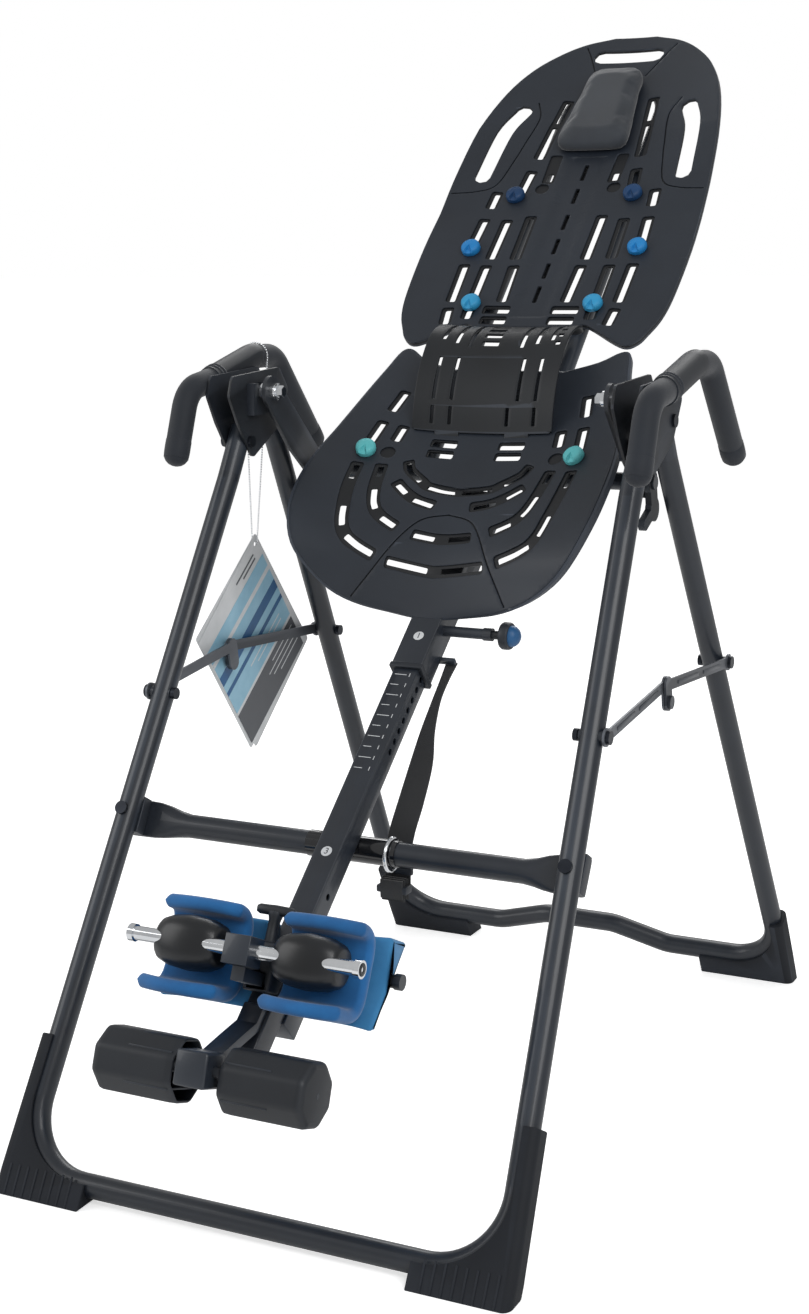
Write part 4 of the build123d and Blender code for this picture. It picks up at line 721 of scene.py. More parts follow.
# ---- seat ----
SEAT_RIGHT = [(92, -158), (140, -140), (168, -120), (181, -124), (190, -159), (200, -199), (211, -255),
              (219, -300), (227, -349), (231, -400), (228, -450), (214, -492), (190, -524), (150, -555),
              (100, -577), (50, -588), (16, -591)]
SEAT_LINE = closed_outline(SEAT_RIGHT)
SEAT_CHANNELS = both([
    [(145, -211), (152, -246)],
    [(158, -275), (163, -312)],
    [(166, -362), (163, -406), (157, -441), (150, -468), (137, -486), (118, -497), (96, -507)],
    [(124, -279), (127, -303)],
    [(131, -357), (126, -397), (119, -423), (109, -440), (93, -452), (75, -461)],
    [(97, -385), (79, -400), (56, -413), (31, -419)],
])
SEAT_SLOTS = both([
    [(145, -211), (152, -246)],
    [(158, -275), (163, -312)],
    [(166, -362), (165, -388)],
    [(157, -440), (154, -455), (150, -468)],
    [(138, -485), (120, -496), (98, -506)],
    [(124, -279), (127, -303)],
    [(131, -357), (129, -375)],
    [(125, -402), (119, -423), (113, -434)],
    [(98, -449), (77, -460)],
    [(95, -387), (79, -400)],
    [(62, -411), (33, -419)],
])
SEAT_ARCS = [[(-94, -343), (-86, -358), (-62, -376), (-46, -386), (-6, -392), (6, -392), (46, -386),
              (62, -376), (86, -358), (94, -343)]]
SEAT_ARC_SLOTS = [[(-94, -343), (-86, -358), (-66, -374)], [(-48, -385), (-26, -390), (-6, -392)],
                  [(6, -392), (26, -390), (48, -385)], [(66, -374), (86, -358), (94, -343)]]
SEAT_FRONT = [[(-42, -472), (-12, -476), (12, -476), (42, -472)],
              [(-71, -516), (-12, -525), (12, -525), (71, -516)]]
SEAT_BARS = both([[(36, -302), (70, -302)], [(36, -322), (70, -322)]])
# these holes go through the top sheet only, so the base sheet's painted shade shows in them
SEAT_HOLES = [(-131, -330), (131, -330)]
SEAT_SEAM = [[(-117, -566), (-86, -519), (-55, -466), (-34, -444), (-4, -436), (4, -436), (34, -444),
              (55, -466), (86, -519), (117, -566)]]
SEAT_BOX = ((-236, 236), (-590, -115))
seat_top = [SEAT_LINE] + smooth_slots((SEAT_CHANNELS, RECESS_HALF - 0.5), (SEAT_ARCS + SEAT_FRONT, 8.6),
                                      (SEAT_BARS, 7.6))
seat_top += [disc_loop(p, HOLE_R) for p in SEAT_HOLES] + smooth_slots((SEAT_SEAM, GROOVE))
seat_base = [SEAT_LINE] + smooth_slots((SEAT_SLOTS, SLOT_HALF - 0.6), (SEAT_ARC_SLOTS, 3.9),
                                       (slot_pairs(SEAT_FRONT), 4.0), (SEAT_BARS, 5.2))
panel("seat_panel", on_seat, seat_top, seat_base, SEAT_BOX, "seat", 13)

# ---- lumbar bridge ----
LUMBAR_HALF = 110.0
LUMBAR_ARCH = [(-282, 1), (-249, 24), (-209, 43), (-169, 52), (-137, 51), (-109, 38), (-92, 20),
               (-85, 1)]
arch_path = smooth_path(LUMBAR_ARCH, 8)
arch_lengths = [0.0]
for before, here in zip(arch_path, arch_path[1:]):
    arch_lengths.append(arch_lengths[-1] + (here - before).length)


def on_bridge(x, length, h):
    """Point of the lumbar bridge: length along its arch from its lower edge."""
    i = 0
    while i < len(arch_lengths) - 2 and length > arch_lengths[i + 1]:
        i += 1
    a, b = arch_path[i], arch_path[i + 1]
    t = (length - arch_lengths[i]) / (arch_lengths[i + 1] - arch_lengths[i])
    run = (b - a).normalized()
    spot = a.lerp(b, t) + Vector((-run.y, run.x)) * h
    bow = 5.0 * (x / LUMBAR_HALF) ** 2
    return BED @ Vector((x, BED_START + spot.x, spot.y - BACK_DEPTH + bow))


bridge_end = arch_lengths[-1]
bridge_outline = [(-106, 0), (-74, 0), (-74, -7), (-36, -7), (-36, 0), (36, 0), (36, -7), (74, -7),
                  (74, 0), (106, 0), (110, 4), (110, bridge_end - 30), (104, bridge_end - 6),
                  (96, bridge_end), (-96, bridge_end), (-104, bridge_end - 6), (-110, bridge_end - 30),
                  (-110, 4)]
bridge_loops = [bridge_outline]
for x in (-84, -62, -40, 40, 62, 84):
    foot = bridge_end - 112 + abs(x) * 0.3
    bridge_loops.append(slot_loop([(x, bridge_end - 14), (x * 1.02, foot)], 3.2))
for x in (-80, -52, 52, 80):
    bridge_loops.append(slot_loop([(x, bridge_end - 122), (x, 48)], 2.6))
for x in (-80, -52, 38, 80):
    bridge_loops.append(slot_loop([(x, 36), (x, 12)], 2.6))
for step in range(5):
    up = bridge_end - 26 - step * 17
    bridge_loops.append(slot_loop([(-22, up), (2, up)], 4.6, 0.3))
    bridge_loops.append(slot_loop([(93, up), (99, up)], 3.4, 0.3))
bridge_bm = sheet_bmesh(bridge_loops, -3.6, 0, 0.7, 7.0, ((-112, 112), (-8, bridge_end + 2)))
lay(bridge_bm, on_bridge)
bridge_mesh = bpy.data.meshes.new("lumbar_bridge_arch")
bridge_bm.to_mesh(bridge_mesh)
bridge_bm.free()
add_piece("lumbar_bridge_arch", bridge_mesh, "table", BRIDGE, ("lumbar_bridge",), 35)

# ---- shapes run along the width or turned about an axis ----
def rounded(points, radius, steps=4):
    """Closed outline with each corner turned into a curve."""
    made = []
    count = len(points)
    for i, p in enumerate(points):
        here, before, after = Vector(p), Vector(points[i - 1]), Vector(points[(i + 1) % count])
        start = here + (before - here).normalized() * min(radius, (before - here).length * 0.48)
        stop = here + (after - here).normalized() * min(radius, (after - here).length * 0.48)
        for k in range(steps + 1):
            t = k / steps
            made.append(start * (1 - t) ** 2 + here * 2 * t * (1 - t) + stop * t * t)
    return made


def inset(points, distance):
    """Closed outline moved inwards."""
    area = sum(a.x * b.y - b.x * a.y for a, b in zip(points, points[1:] + points[:1]))
    side = 1 if area > 0 else -1
    made = []
    for i, here in enumerate(points):
        run = (points[(i + 1) % len(points)] - points[i - 1]).normalized()
        made.append(here + Vector((-run.y, run.x)) * side * distance)
    return made


def round_ends(near, far, rim, steps=10):
    """Stations (x, inset) across the width, with both ends rounded by rim."""
    turn = 1 if far > near else -1
    ends = [(turn * rim * (1 - cos(radians(a))), rim * (1 - sin(radians(a)))) for a in (0, 30, 60, 90)]
    middle = [(near + (far - near) * k / steps, 0) for k in range(1, steps)
              if rim < abs((far - near) * k / steps) < abs(far - near) - rim]
    return [(near + x, d) for x, d in ends] + middle + [(far - x, d) for x, d in reversed(ends)]


def run_across(bm, place, outline, stations, shape=None):
    """Solid across the width with a given section (along, out), inset as each station says."""
    rows = []
    for x, d in stations:
        ring = inset(outline, d)
        spots = [shape(x, p.x, p.y) if shape else (x, p.x, p.y) for p in ring]
        rows.append([bm.verts.new(place @ Vector(spot)) for spot in spots])
    skin(bm, rows)


def soft_strip(bm, place, points, halves, near, far, rim, shape):
    """Thick foam strip with soft edges: a curve (along, out) and its half thicknesses, run across."""
    course = smooth_path([(*p, h) for p, h in zip(points, halves)], 5)
    reach = [0.0]
    for a, b in zip(course, course[1:]):
        reach.append(reach[-1] + (b.xy - a.xy).length)
    marks = [rim * (1 - cos(radians(a))) for a in (0, 20, 40, 60, 80)]

    def stops(end, inner):
        """Places of the rows: close together within the rims, as given between them."""
        return sorted(marks + [u for u in inner if rim < u < end - rim] + [end - m for m in marks])

    ups = stops(reach[-1], reach)
    span = abs(far - near)
    steps = stops(span, [span * k / 14 for k in range(1, 14)])
    sides = ([], [])
    for u in ups:
        i = max(k for k in range(len(reach) - 1) if reach[k] <= u + 1e-9)
        t = (u - reach[i]) / (reach[i + 1] - reach[i])
        spot = course[i].lerp(course[i + 1], t)
        run = (course[min(i + 2, len(course) - 1)].xy - course[max(i - 1, 0)].xy).normalized()
        square = Vector((-run.y, run.x))
        for side, rows in zip((-1, 1), sides):
            row = []
            for step in steps:
                thin = 1.0
                for edge in (min(u, reach[-1] - u), min(step, span - step)):
                    thin *= (1 - (1 - min(1.0, edge / rim)) ** 2) ** 0.5
                p = spot.xy + square * side * spot.z * thin
                x = near + (far - near) * step / span
                row.append(bm.verts.new(place @ Vector(shape(x, p.x, p.y))))
            rows.append(row)
    for rows in sides:
        for a, b in zip(rows, rows[1:]):
            for i in range(len(a) - 1):
                bm.faces.new((a[i], a[i + 1], b[i + 1], b[i]))


def lathe(bm, place, profile, count=32):
    """Solid turned about a frame's z from (radius, z) pairs."""
    line = [bm.verts.new(place @ Vector((r, 0, z))) for r, z in profile]
    edges = [bm.edges.new(pair) for pair in zip(line, line[1:])]
    bmesh.ops.spin(bm, geom=line + edges, cent=place.translation,
                   axis=place.to_3x3().col[2].normalized(), angle=2 * pi, steps=count, use_merge=True)


def whole(name, bm, body, material, replaces=(), smooth=40):
    """Shows a bmesh as a piece."""
    return add_piece(name, close_mesh(name, bm), body, material, replaces, smooth)


# ---- nodes shown as they are, each with its finish ----
def paint(material, *names):
    """Gives nodes their finish."""
    for name in names:
        mesh = nodes[name].data
        mesh.materials.clear()
        mesh.materials.append(material)


paint(FRAME_PAINT, "front_frame", "rear_frame", "bed_frame", "bed_cross_bar", "handle_bar_left",
      "handle_bar_right")
paint(CHROME, "ankle_rod", "tether_ring")
paint(DARK_STEEL, "height_pin")
paint(ZINC, "stand_bolts", "rear_bolts")
paint(SHELL, "heel_rod")
paint(GLOSS, "crossbar_sleeve")
paint(ARM_STEEL, "front_arm_left", "front_arm_right", "rear_arm_left", "rear_arm_right")


# ---- nodes with their edges rounded ----
def corner_of(place, half_x, half_out):
    """Picks the four long outer edges of a tube that runs along a frame."""
    back = place.inverted()

    def is_corner(edge):
        """Whether both ends of an edge lie out at a corner of the tube."""
        spots = [back @ v.co for v in edge.verts]
        return all(abs(p.x) > half_x and abs(p.z) > half_out for p in spots)

    return is_corner


eased("main_shaft", 3.0, FRAME_PAINT, "frame_paint", segments=3, keep=corner_of(SHAFT, 17.6, 17.6))
sleeve = eased("shaft_sleeve", 3.0, FRAME_PAINT, "frame_paint", segments=3,
               keep=corner_of(SHAFT, 22.4, 21.4))
LUG_END, LUG_LOW, LUG_HIGH = 45.0, -264.0, -250.0       # the strap's lug ends just past the strap
for v in sleeve.data.vertices:
    spot = SHAFT.inverted() @ v.co
    if spot.x > LUG_END and LUG_LOW < spot.y < LUG_HIGH:
        v.co = SHAFT @ Vector((LUG_END, spot.y, spot.z))
eased("sleeve_bushing", 1.6, PLASTIC, "black_plastic", segments=3, keep=corner_of(SHAFT, 24.0, 23.0))
for name, *look in (("heel_bracket", 1.5, FRAME_PAINT, "frame_paint"),
                    ("crossbar_saddles", 2.0, PLASTIC, "black_plastic"),
                    ("pivot_seats", 2.2, PLASTIC, "black_plastic"),
                    ("height_pin_housing", 0.8, PLASTIC, "black_plastic"),
                    ("ankle_lock_housing", 3.5, PLASTIC, "black_plastic"),
                    ("ankle_carriage", 3.0, FRAME_PAINT, "frame_paint"),
                    ("platform_arm", 2.0, FRAME_PAINT, "frame_paint"),
                    ("platform_hub", 3.0, FRAME_PAINT, "frame_paint"),
                    ("handle_cover_left", 1.0, PLASTIC, "black_plastic"),
                    ("handle_cover_right", 1.0, PLASTIC, "black_plastic")):
    eased(name, *look)
for side_name, _ in SIDES:
    for name, *look in (("pivot_arm", 1.4, DARK_STEEL, "dark_steel"),
                        ("hinge_plate", 0.9, DARK_STEEL, "dark_steel"),
                        ("hinge_cover", 1.2, PLASTIC, "black_plastic"),
                        ("hinge_lock", 2.0, PLASTIC, "black_plastic"),
                        ("front_foot", 4.0, RUBBER, "rubber", 1.0),
                        ("rear_foot", 4.0, RUBBER, "rubber", 1.0)):
        eased(f"{name}_{side_name}", *look)
    grips = eased(f"foam_grips_{side_name}", 1.6, GRIP_FOAM, "foam", shortest=0.05, segments=3)

# ---- crossbar: a round tube pressed flat at both ends ----
FRONT = tilted(-549.3, 20.0, degrees(atan2(915, 541)))
CROSSBAR_UP, CROSSBAR_OUT = 488.0, -43.5
# distance from the middle, half height, half depth, how far forward, squareness
CROSSBAR_RUN = [(0, 16, 16, 0, 2), (246, 16, 16, 0, 2), (262, 18.5, 13.5, 2.2, 2.1),
                (278, 22.5, 8.6, 7.2, 2.6), (292, 24.6, 6.0, 9.9, 3.6), (306, 25, 5.5, 10.5, 5),
                (330, 25, 5.5, 10.5, 6), (334, 24, 4.6, 10.5, 6)]


def crossbar_ring(side, row):
    """Ring of the crossbar at a row of its table, on one side."""
    x, tall, deep, forward, power = row
    spot = FRONT @ Vector((side * x, CROSSBAR_UP, CROSSBAR_OUT + forward))
    return (facing(spot, (1, 0, 0), FRONT.to_3x3().col[1]), tall * MM, deep * MM, power)


bm = bmesh.new()
loft(bm, [crossbar_ring(-1, row) for row in reversed(CROSSBAR_RUN)]
     + [crossbar_ring(1, row) for row in CROSSBAR_RUN[1:]])
whole("crossbar_tube", bm, "stand", FRAME_PAINT, ("crossbar",))

# ---- ribs on the front feet ----
FOOT_RIBS, FOOT_RIB_AT, FOOT_RIB_PITCH, FOOT_RIB_HALF = 8, 249, 13.5, 1.6
bm = bmesh.new()
for _, side in SIDES:
    for step in range(FOOT_RIBS):
        x = side * (FOOT_RIB_AT + step * FOOT_RIB_PITCH)
        bar(bm, FRONT, (x - FOOT_RIB_HALF, -34, 19.8), (x + FOOT_RIB_HALF, 6, 21.6), 0.7)
whole("foot_ribs", bm, "stand", RUBBER)

# ---- spreader arms: a pressed rib along each ----
ARM_MEET = Vector((3, 612))
ARMS = (("front", (-216, 589), 337), ("rear", (268, 593), 341))     # where each starts, its outer face
RIB_SPANS, RIB_HALF = ((0.16, 0.45), (0.53, 0.86)), 2.6
for which, spot, face in ARMS:
    for side_name, side in SIDES:
        bm = bmesh.new()
        run = ARM_MEET - Vector(spot)
        place = tilted(*spot, degrees(atan2(run.y, run.x)))
        low, high = sorted((side * (face - 0.4), side * (face + 1.0)))
        for start, stop in RIB_SPANS:
            bar(bm, place, (low, run.length * start, -RIB_HALF), (high, run.length * stop, RIB_HALF),
                0.6)
        whole(f"{which}_arm_rib_{side_name}", bm, f"{which}_spreader_{side_name}", ARM_STEEL)

# ---- pressure nodes: round heads, each with a wedge cut into its face ----
NOTCH_ABOVE, NOTCH_FROM, NOTCH_TURN, NOTCH_DEPTH = 9, 3, 0.42, 4.2
NODE_PROFILE = [(0, 13.2), (7, 13.1), (11.4, 12.2), (14, 10.2), (15, 7), (15, 1.2), (13.5, -0.6),
                (0, -0.6)]
NODE_SPOTS = [("navy", 98, 208.7, on_back), ("blue", 137, 91.7, on_back), ("light", 99, -25.3, on_back),
              ("teal", 163, -333.3, on_seat)]
heads = bmesh.new()
for index, (colour, x, s, surface) in enumerate(NODE_SPOTS):
    for _, side in SIDES:
        seat_spot = surface(side * x, s, 0)
        place = facing(seat_spot, surface(side * x, s, 1) - seat_spot) @ Matrix.Scale(MM, 4)
        first = len(heads.faces)
        lathe(heads, place, NODE_PROFILE, 40)
        heads.faces.ensure_lookup_table()
        back = place.inverted()
        for v in {v for f in heads.faces[first:] for v in f.verts}:
            spot = back @ v.co
            if (spot.z > NOTCH_ABOVE and hypot(spot.x, spot.y) > NOTCH_FROM
                    and abs(atan2(spot.x, -spot.y)) < NOTCH_TURN):
                v.co = place @ (spot - Vector((0, 0, NOTCH_DEPTH)))
        for f in heads.faces[first:]:
            f.material_index = index
node_mesh = close_mesh("node_heads", heads)
for colour, *_ in NODE_SPOTS:
    node_mesh.materials.append(NODE_FINISHES[colour])
add_piece("node_heads", node_mesh, "table", None, ("pressure_nodes",), 40)

# ---- height pin's knob: a black grip round a blue dome ----
knob_frame = SHAFT @ Matrix.Translation((0, -220.4, 0)) @ Matrix.Rotation(pi / 2, 4, "Y")
bm = bmesh.new()
lathe(bm, knob_frame, [(0, 108), (12, 108), (17.4, 109.4), (19, 112), (19, 120), (18, 122.4),
                       (15.6, 123), (15.2, 121.8), (0, 121.8)], 40)
whole("knob_grip", bm, "height_lock", PLASTIC, ("height_pin_knob",))
bm = bmesh.new()
lathe(bm, knob_frame, [(0, 121), (15, 121), (15, 123), (13.6, 128.4), (10.4, 132.4), (5.6, 135.2),
                       (0, 136)], 40)
whole("knob_face", bm, "height_lock", KNOB_BLUE)

# ---- foam of the ankle lock: a section (along, out) run across each side ----
CUP_COURSE = [(49, 90), (48.6, 72), (44, 57), (30, 49), (0, 48.2), (-32, 49), (-48, 58), (-53.5, 76),
              (-53.5, 100), (-53, 124)]
CUP_HALVES = [8.8, 8.8, 9.0, 9.3, 9.4, 9.2, 8.8, 8.6, 8.8, 9.0]
HEEL_SECTION = [(48, -19), (48, 28), (30, 22), (8, 16), (-14, 18), (-40, 32), (-62, 37), (-62, 29)]


def arched_lip(x, along, out):
    """The lips of a cup stand furthest out at its middle."""
    t = (abs(x) - 84.5) / 55.5
    reach = max(0.0, (out - 58) / 66)
    curl = 3.0 * reach * (1 if along > 0 else -1) * (1 - t * t)
    return (x, along + curl, out - 16 * reach * t * t)


def flared_end(x, along, out):
    """The heel trough widens towards its outer end."""
    flare = max(0.0, (abs(x) - 105) / 45) ** 2
    return (x, along * (1 + 0.05 * flare), out - 5 * flare * (1 - abs(along) / 62))


bm = bmesh.new()
for _, side in SIDES:
    soft_strip(bm, ANKLE, CUP_COURSE, CUP_HALVES, side * 29, side * 140, 7.5, arched_lip)
whole("cup_foam", bm, "ankle_slider", BLUE_FOAM, ("ankle_cups",), 70)
bm = bmesh.new()
for _, side in SIDES:
    run_across(bm, ANKLE, rounded(HEEL_SECTION, 7.4, 4), round_ends(side * 21, side * 150, 6.0),
               flared_end)
whole("heel_foam", bm, "shaft", LIGHT_FOAM, ("heel_cup",), 60)

# ---- moulded shells on the ankle rod, dark plugs in its ends, and the T handle ----
# distance from the middle, half size, squareness
SHELL_RUN = [(39, 20, 2.2), (40, 23, 2.4), (44, 26.4, 2.6), (58, 31.4, 2.8), (82, 34, 2.9),
             (106, 31.4, 2.8), (120, 26.4, 2.6), (124, 23, 2.4), (125, 20, 2.2)]
T_BAR_RUN = [(-26, 3), (-25.4, 4.6), (-22, 6.2), (-12, 6.3), (0, 6.8), (12, 6.3), (22, 6.2),
             (25.4, 4.6), (26, 3)]
PLUG_PROFILE = [(0, 157), (7.4, 157), (8, 157.6), (8.2, 160.3), (7.6, 160.8), (3.4, 160.8),
                (3.0, 158.6), (0, 158.6)]
bm = bmesh.new()
for _, side in SIDES:
    rings = []
    for x, size, power in SHELL_RUN:
        spot = ANKLE @ Vector((side * x, 1, 92))
        rings.append((facing(spot, (1, 0, 0), ANKLE.to_3x3().col[1]), size * MM, size * 0.98 * MM,
                      power))
    loft(bm, rings)
whole("rod_shells", bm, "ankle_slider", SHELL, ("ankle_shells",))
bm = bmesh.new()
for _, side in SIDES:
    lathe(bm, across(ANKLE, 0, 1, 112, side), PLUG_PROFILE, 28)
whole("rod_plugs", bm, "ankle_slider", SHELL)
bm = bmesh.new()
rings = []
for x, size in T_BAR_RUN:
    spot = ANKLE @ Vector((x, 58.6, 50))
    rings.append((facing(spot, (1, 0, 0), ANKLE.to_3x3().col[1]), size * MM, size * MM, 2.6))
loft(bm, rings)
T_HANDLE = ANKLE @ Matrix.Translation((0, 0, 50)) @ Matrix.Rotation(-pi / 2, 4, "X")
lathe(bm, T_HANDLE, [(0, -19.7), (4, -19.7), (4, 18.3), (9.4, 18.4), (9.6, 19.6), (7.8, 22), (7.4, 46),
                     (9.2, 53), (9.2, 57), (0, 58)], 32)
whole("t_handle", bm, "ankle_lock", PLASTIC, ("ankle_pin",))

# ---- foot pads: rounded octagons, open and ribbed at their inner ends, on an axle ----
pad_line = [(-8.4 + 41.7 * cos(radians(22.5 + 45 * k)),
             -29.6 + 41.7 * sin(radians(22.5 + 45 * k))) for k in range(8)]
PAD_INNER = [(33, 0.6), (31.4, 1.6), (31, 2.6), (31.6, 3.6), (34, 4.2), (96, 4.2)]
bm = bmesh.new()
for _, side in SIDES:
    stations = round_ends(side * 143, side * 31, 8.0)[:-4] + [(side * x, d) for x, d in PAD_INNER]
    run_across(bm, PLATFORM, rounded(pad_line, 5.5, 4), stations)
    for along in (-30, -8.4, 13):
        bar(bm, PLATFORM, (min(side * 36, side * 97), along - 1.2, -64),
            (max(side * 36, side * 97), along + 1.2, 4.5), 0.5)
    lathe(bm, across(PLATFORM, 0, -8.4, -29.6, side),
          [(0, 143.3), (3.2, 143.3), (3.8, 142.6), (0, 142.6)], 20)
cylinder(bm, across(PLATFORM, 0, 0, 0), 6.0, -96, 96, 0.8)
whole("pads", bm, "foot_platform", PLASTIC, ("foot_pads",))

# ---- pivot pins: a turned roller between its rims, and a six-sided inner end ----
bm = bmesh.new()
for _, side in SIDES:
    pin = SIDE @ Matrix.Translation((side * 236, 0, 988)) @ Matrix.Rotation(side * pi / 2, 4, "Y")
    lathe(bm, pin, [(0, 8), (9.2, 8), (9.2, 9.5), (12, 10), (12, 17.6), (9.3, 18), (9.2, 29),
                    (12, 29.2), (12, 33.2), (9.2, 33.6), (9.2, 46), (0, 46)], 36)
    lathe(bm, pin, [(0, 0), (7.6, 0), (8.6, 1), (8.6, 8.4), (0, 8.4)], 6)
whole("pins", bm, "table", CHROME, ("pivot_pins",), 30)

# ---- rounded caps on the grips, and rings at the front of the handle covers ----
HANDLE_X = 340
GRIP_ENDS = (((-124, 905), (-90, 995)), ((271, 893), (150, 1030)))
COVER_START, COVER_STOP, RINGS_AT = Vector((-25, 1004)), Vector((88, 1031)), (6, 13)
CAP_PROFILE = [(0, 14.5), (5, 13.9), (9.6, 12.2), (13.6, 9), (16.4, 4.8), (17.8, -1), (18.1, -8),
               (18, -22), (17.3, -23.4), (0, -23.4)]
RING_PROFILE = [(18.2, -2.2), (20.0, -1.6), (20.6, 0), (20.0, 1.6), (18.2, 2.2), (18.2, -2.2)]
for side_name, side in SIDES:
    bm = bmesh.new()
    for end, after in GRIP_ENDS:
        spot = SIDE @ Vector((side * HANDLE_X, *end))
        place = facing(spot, spot - SIDE @ Vector((side * HANDLE_X, *after))) @ Matrix.Scale(MM, 4)
        lathe(bm, place, CAP_PROFILE, 40)
    whole(f"grip_caps_{side_name}", bm, "stand", GRIP_FOAM)
    bm = bmesh.new()
    run = (COVER_STOP - COVER_START).normalized()
    for at in RINGS_AT:
        spot = SIDE @ Vector((side * HANDLE_X, *(COVER_START + run * at)))
        ahead = SIDE @ Vector((side * HANDLE_X, *(COVER_START + run * (at + 1))))
        place = facing(spot, ahead - spot) @ Matrix.Scale(MM, 4)
        lathe(bm, place, RING_PROFILE, 40)
    whole(f"cover_rings_{side_name}", bm, "stand", PLASTIC)

# ---- head pillow: stuffed cloth that swells and rests on the backrest ----
PILLOW_LOW, PILLOW_HIGH, PILLOW_WIDE, PILLOW_NARROW, PILLOW_T = 307.0, 490.0, 62.0, 45.0, 21.0
PILLOW_ROOM, PILLOW_PULL = 9.0, 0.12    # how far a point may swell, its share of sideways pull
VOXEL, PRESSURE, CLOTH_QUALITY, LAST_STEP = 5.0, 4.0, 6, 20
pillow_line = rounded([(-PILLOW_WIDE, PILLOW_LOW), (PILLOW_WIDE, PILLOW_LOW),
                       (PILLOW_NARROW, PILLOW_HIGH), (-PILLOW_NARROW, PILLOW_HIGH)], 26, 5)
bm = sheet_bmesh([pillow_line], 1.0, 1.0 + PILLOW_T, 6.0, 8.0, ((-66, 66), (PILLOW_LOW, PILLOW_HIGH)))
lay(bm, on_back)
pillow_mesh = close_mesh("pillow", bm)
pillow = add_piece("pillow", pillow_mesh, "table", PILLOW_CLOTH, ("head_pillow",), 60)
remesh = pillow.modifiers.new("remesh", "REMESH")
remesh.mode, remesh.voxel_size = "VOXEL", VOXEL * MM
start_mesh = as_it_stands(pillow)
pillow.modifiers.clear()
start_spots = [v.co.copy() for v in start_mesh.vertices]
pillow.data = start_mesh
cloth = pillow.modifiers.new("cloth", "CLOTH")
cloth.settings.quality = CLOTH_QUALITY
cloth.settings.use_pressure = True
cloth.settings.uniform_pressure_force = PRESSURE
cloth.settings.effector_weights.gravity = 0.0
for step in range(1, LAST_STEP + 1):
    bpy.context.scene.frame_set(step)
settled = as_it_stands(pillow)
pillow.modifiers.clear()
bpy.context.scene.frame_set(1)
out_of_bed = BED.to_3x3().col[2].normalized()
for v, start in zip(settled.vertices, start_spots):
    move = v.co - start
    rise = max(0.0, move.dot(out_of_bed))
    move = (move - out_of_bed * move.dot(out_of_bed)) * PILLOW_PULL + out_of_bed * rise
    if move.length > PILLOW_ROOM * MM:
        move *= PILLOW_ROOM * MM / move.length
    v.co = start + move
settled.materials.clear()
settled.materials.append(PILLOW_CLOTH)
for face in settled.polygons:
    face.use_smooth = True
pillow.data = settled
finer = pillow.modifiers.new("finer", "SUBSURF")
finer.levels = finer.render_levels = 1

# ---- a dark spine in the painted shade of the recesses closes the backrest's middle slots ----
bm = bmesh.new()
for low, high in ((-22, 60), (60, 145), (145, 230), (230, 292)):
    near, far = on_back(0, low, -8.4), on_back(0, high, -8.4)
    place = facing(near, on_back(0, low, 0) - near) @ Matrix.Scale(MM, 4)
    bar(bm, place, (-17, 0, -1.4), (17, (far - near).length / MM + 0.5, 0.4), 0.8)
whole("backrest_spine", bm, "table", RECESS_SHADE)

# ---- tether strap: webbing from the sleeve's lug round the crossbar ring, and its folded end ----
STRAP_X, STRAP_HALF, STRAP_T = 55.0, 19.0, 2.4
GATHER = 0.8                # how much thicker the webbing gets where it is gathered narrow
STRAP_FOLDS = ((-243, 379, 351), (-247.5, 381, 353), (-252, 380, 350), (-256.5, 379, 354))


def ribbon(bm, points, thick, steps=6):
    """Flat webbing with soft edges along a path of (y, z, x, half width)."""
    path = smooth_path(points, steps)
    rows = []
    for i, p in enumerate(path):
        run = (path[min(i + 1, len(path) - 1)].xy - path[max(i - 1, 0)].xy).normalized()
        square = Vector((-run.y, run.x))
        half = p.w
        ring = []
        for x, h in ((-half, 0), (-half + 1, 0.5), (half - 1, 0.5), (half, 0), (half - 1, -0.5),
                     (-half + 1, -0.5)):
            spot = p.xy + square * h * thick * (1 + GATHER * (STRAP_HALF - half) / STRAP_HALF)
            ring.append(bm.verts.new(SIDE @ Vector((p.z + x, spot.x, spot.y))))
        rows.append(ring)
    skin(bm, rows)


bm = bmesh.new()
ribbon(bm, [(-26, 622.6, 36, 9), (-52, 602, 36, 7), (-80, 579, 37, 7), (-115, 546, 41, 11),
            (-150, 510, 48, 17), (-195, 469, 54, 19), (-226, 437, 56, 19), (-238, 410, 56, 19),
            (-238, 380, 55, 19), (-239, 362, 55, 19)], STRAP_T)
for step, (y, top, foot) in enumerate(STRAP_FOLDS):
    across_it = (STRAP_X, STRAP_HALF - 1 - step * 0.4)
    middle = (y - 0.6, (top + foot) / 2)
    ribbon(bm, [(y, top, *across_it), (*middle, *across_it), (y + 0.4, foot, *across_it)],
           STRAP_T * 1.3, 4)
strap = whole("strap", bm, "table", WEBBING, ("tether_strap",), 50)
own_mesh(strap)
bm = bmesh.new()
bar(bm, SIDE, (STRAP_X - 22, -258.5, 361), (STRAP_X + 22, -240.5, 371), 2.0)
bar(bm, SIDE, (STRAP_X - 22, -242, 383), (STRAP_X + 22, -235, 393), 2.0)
clip = whole("strap_clip", bm, "table", PLASTIC)
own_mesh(clip)

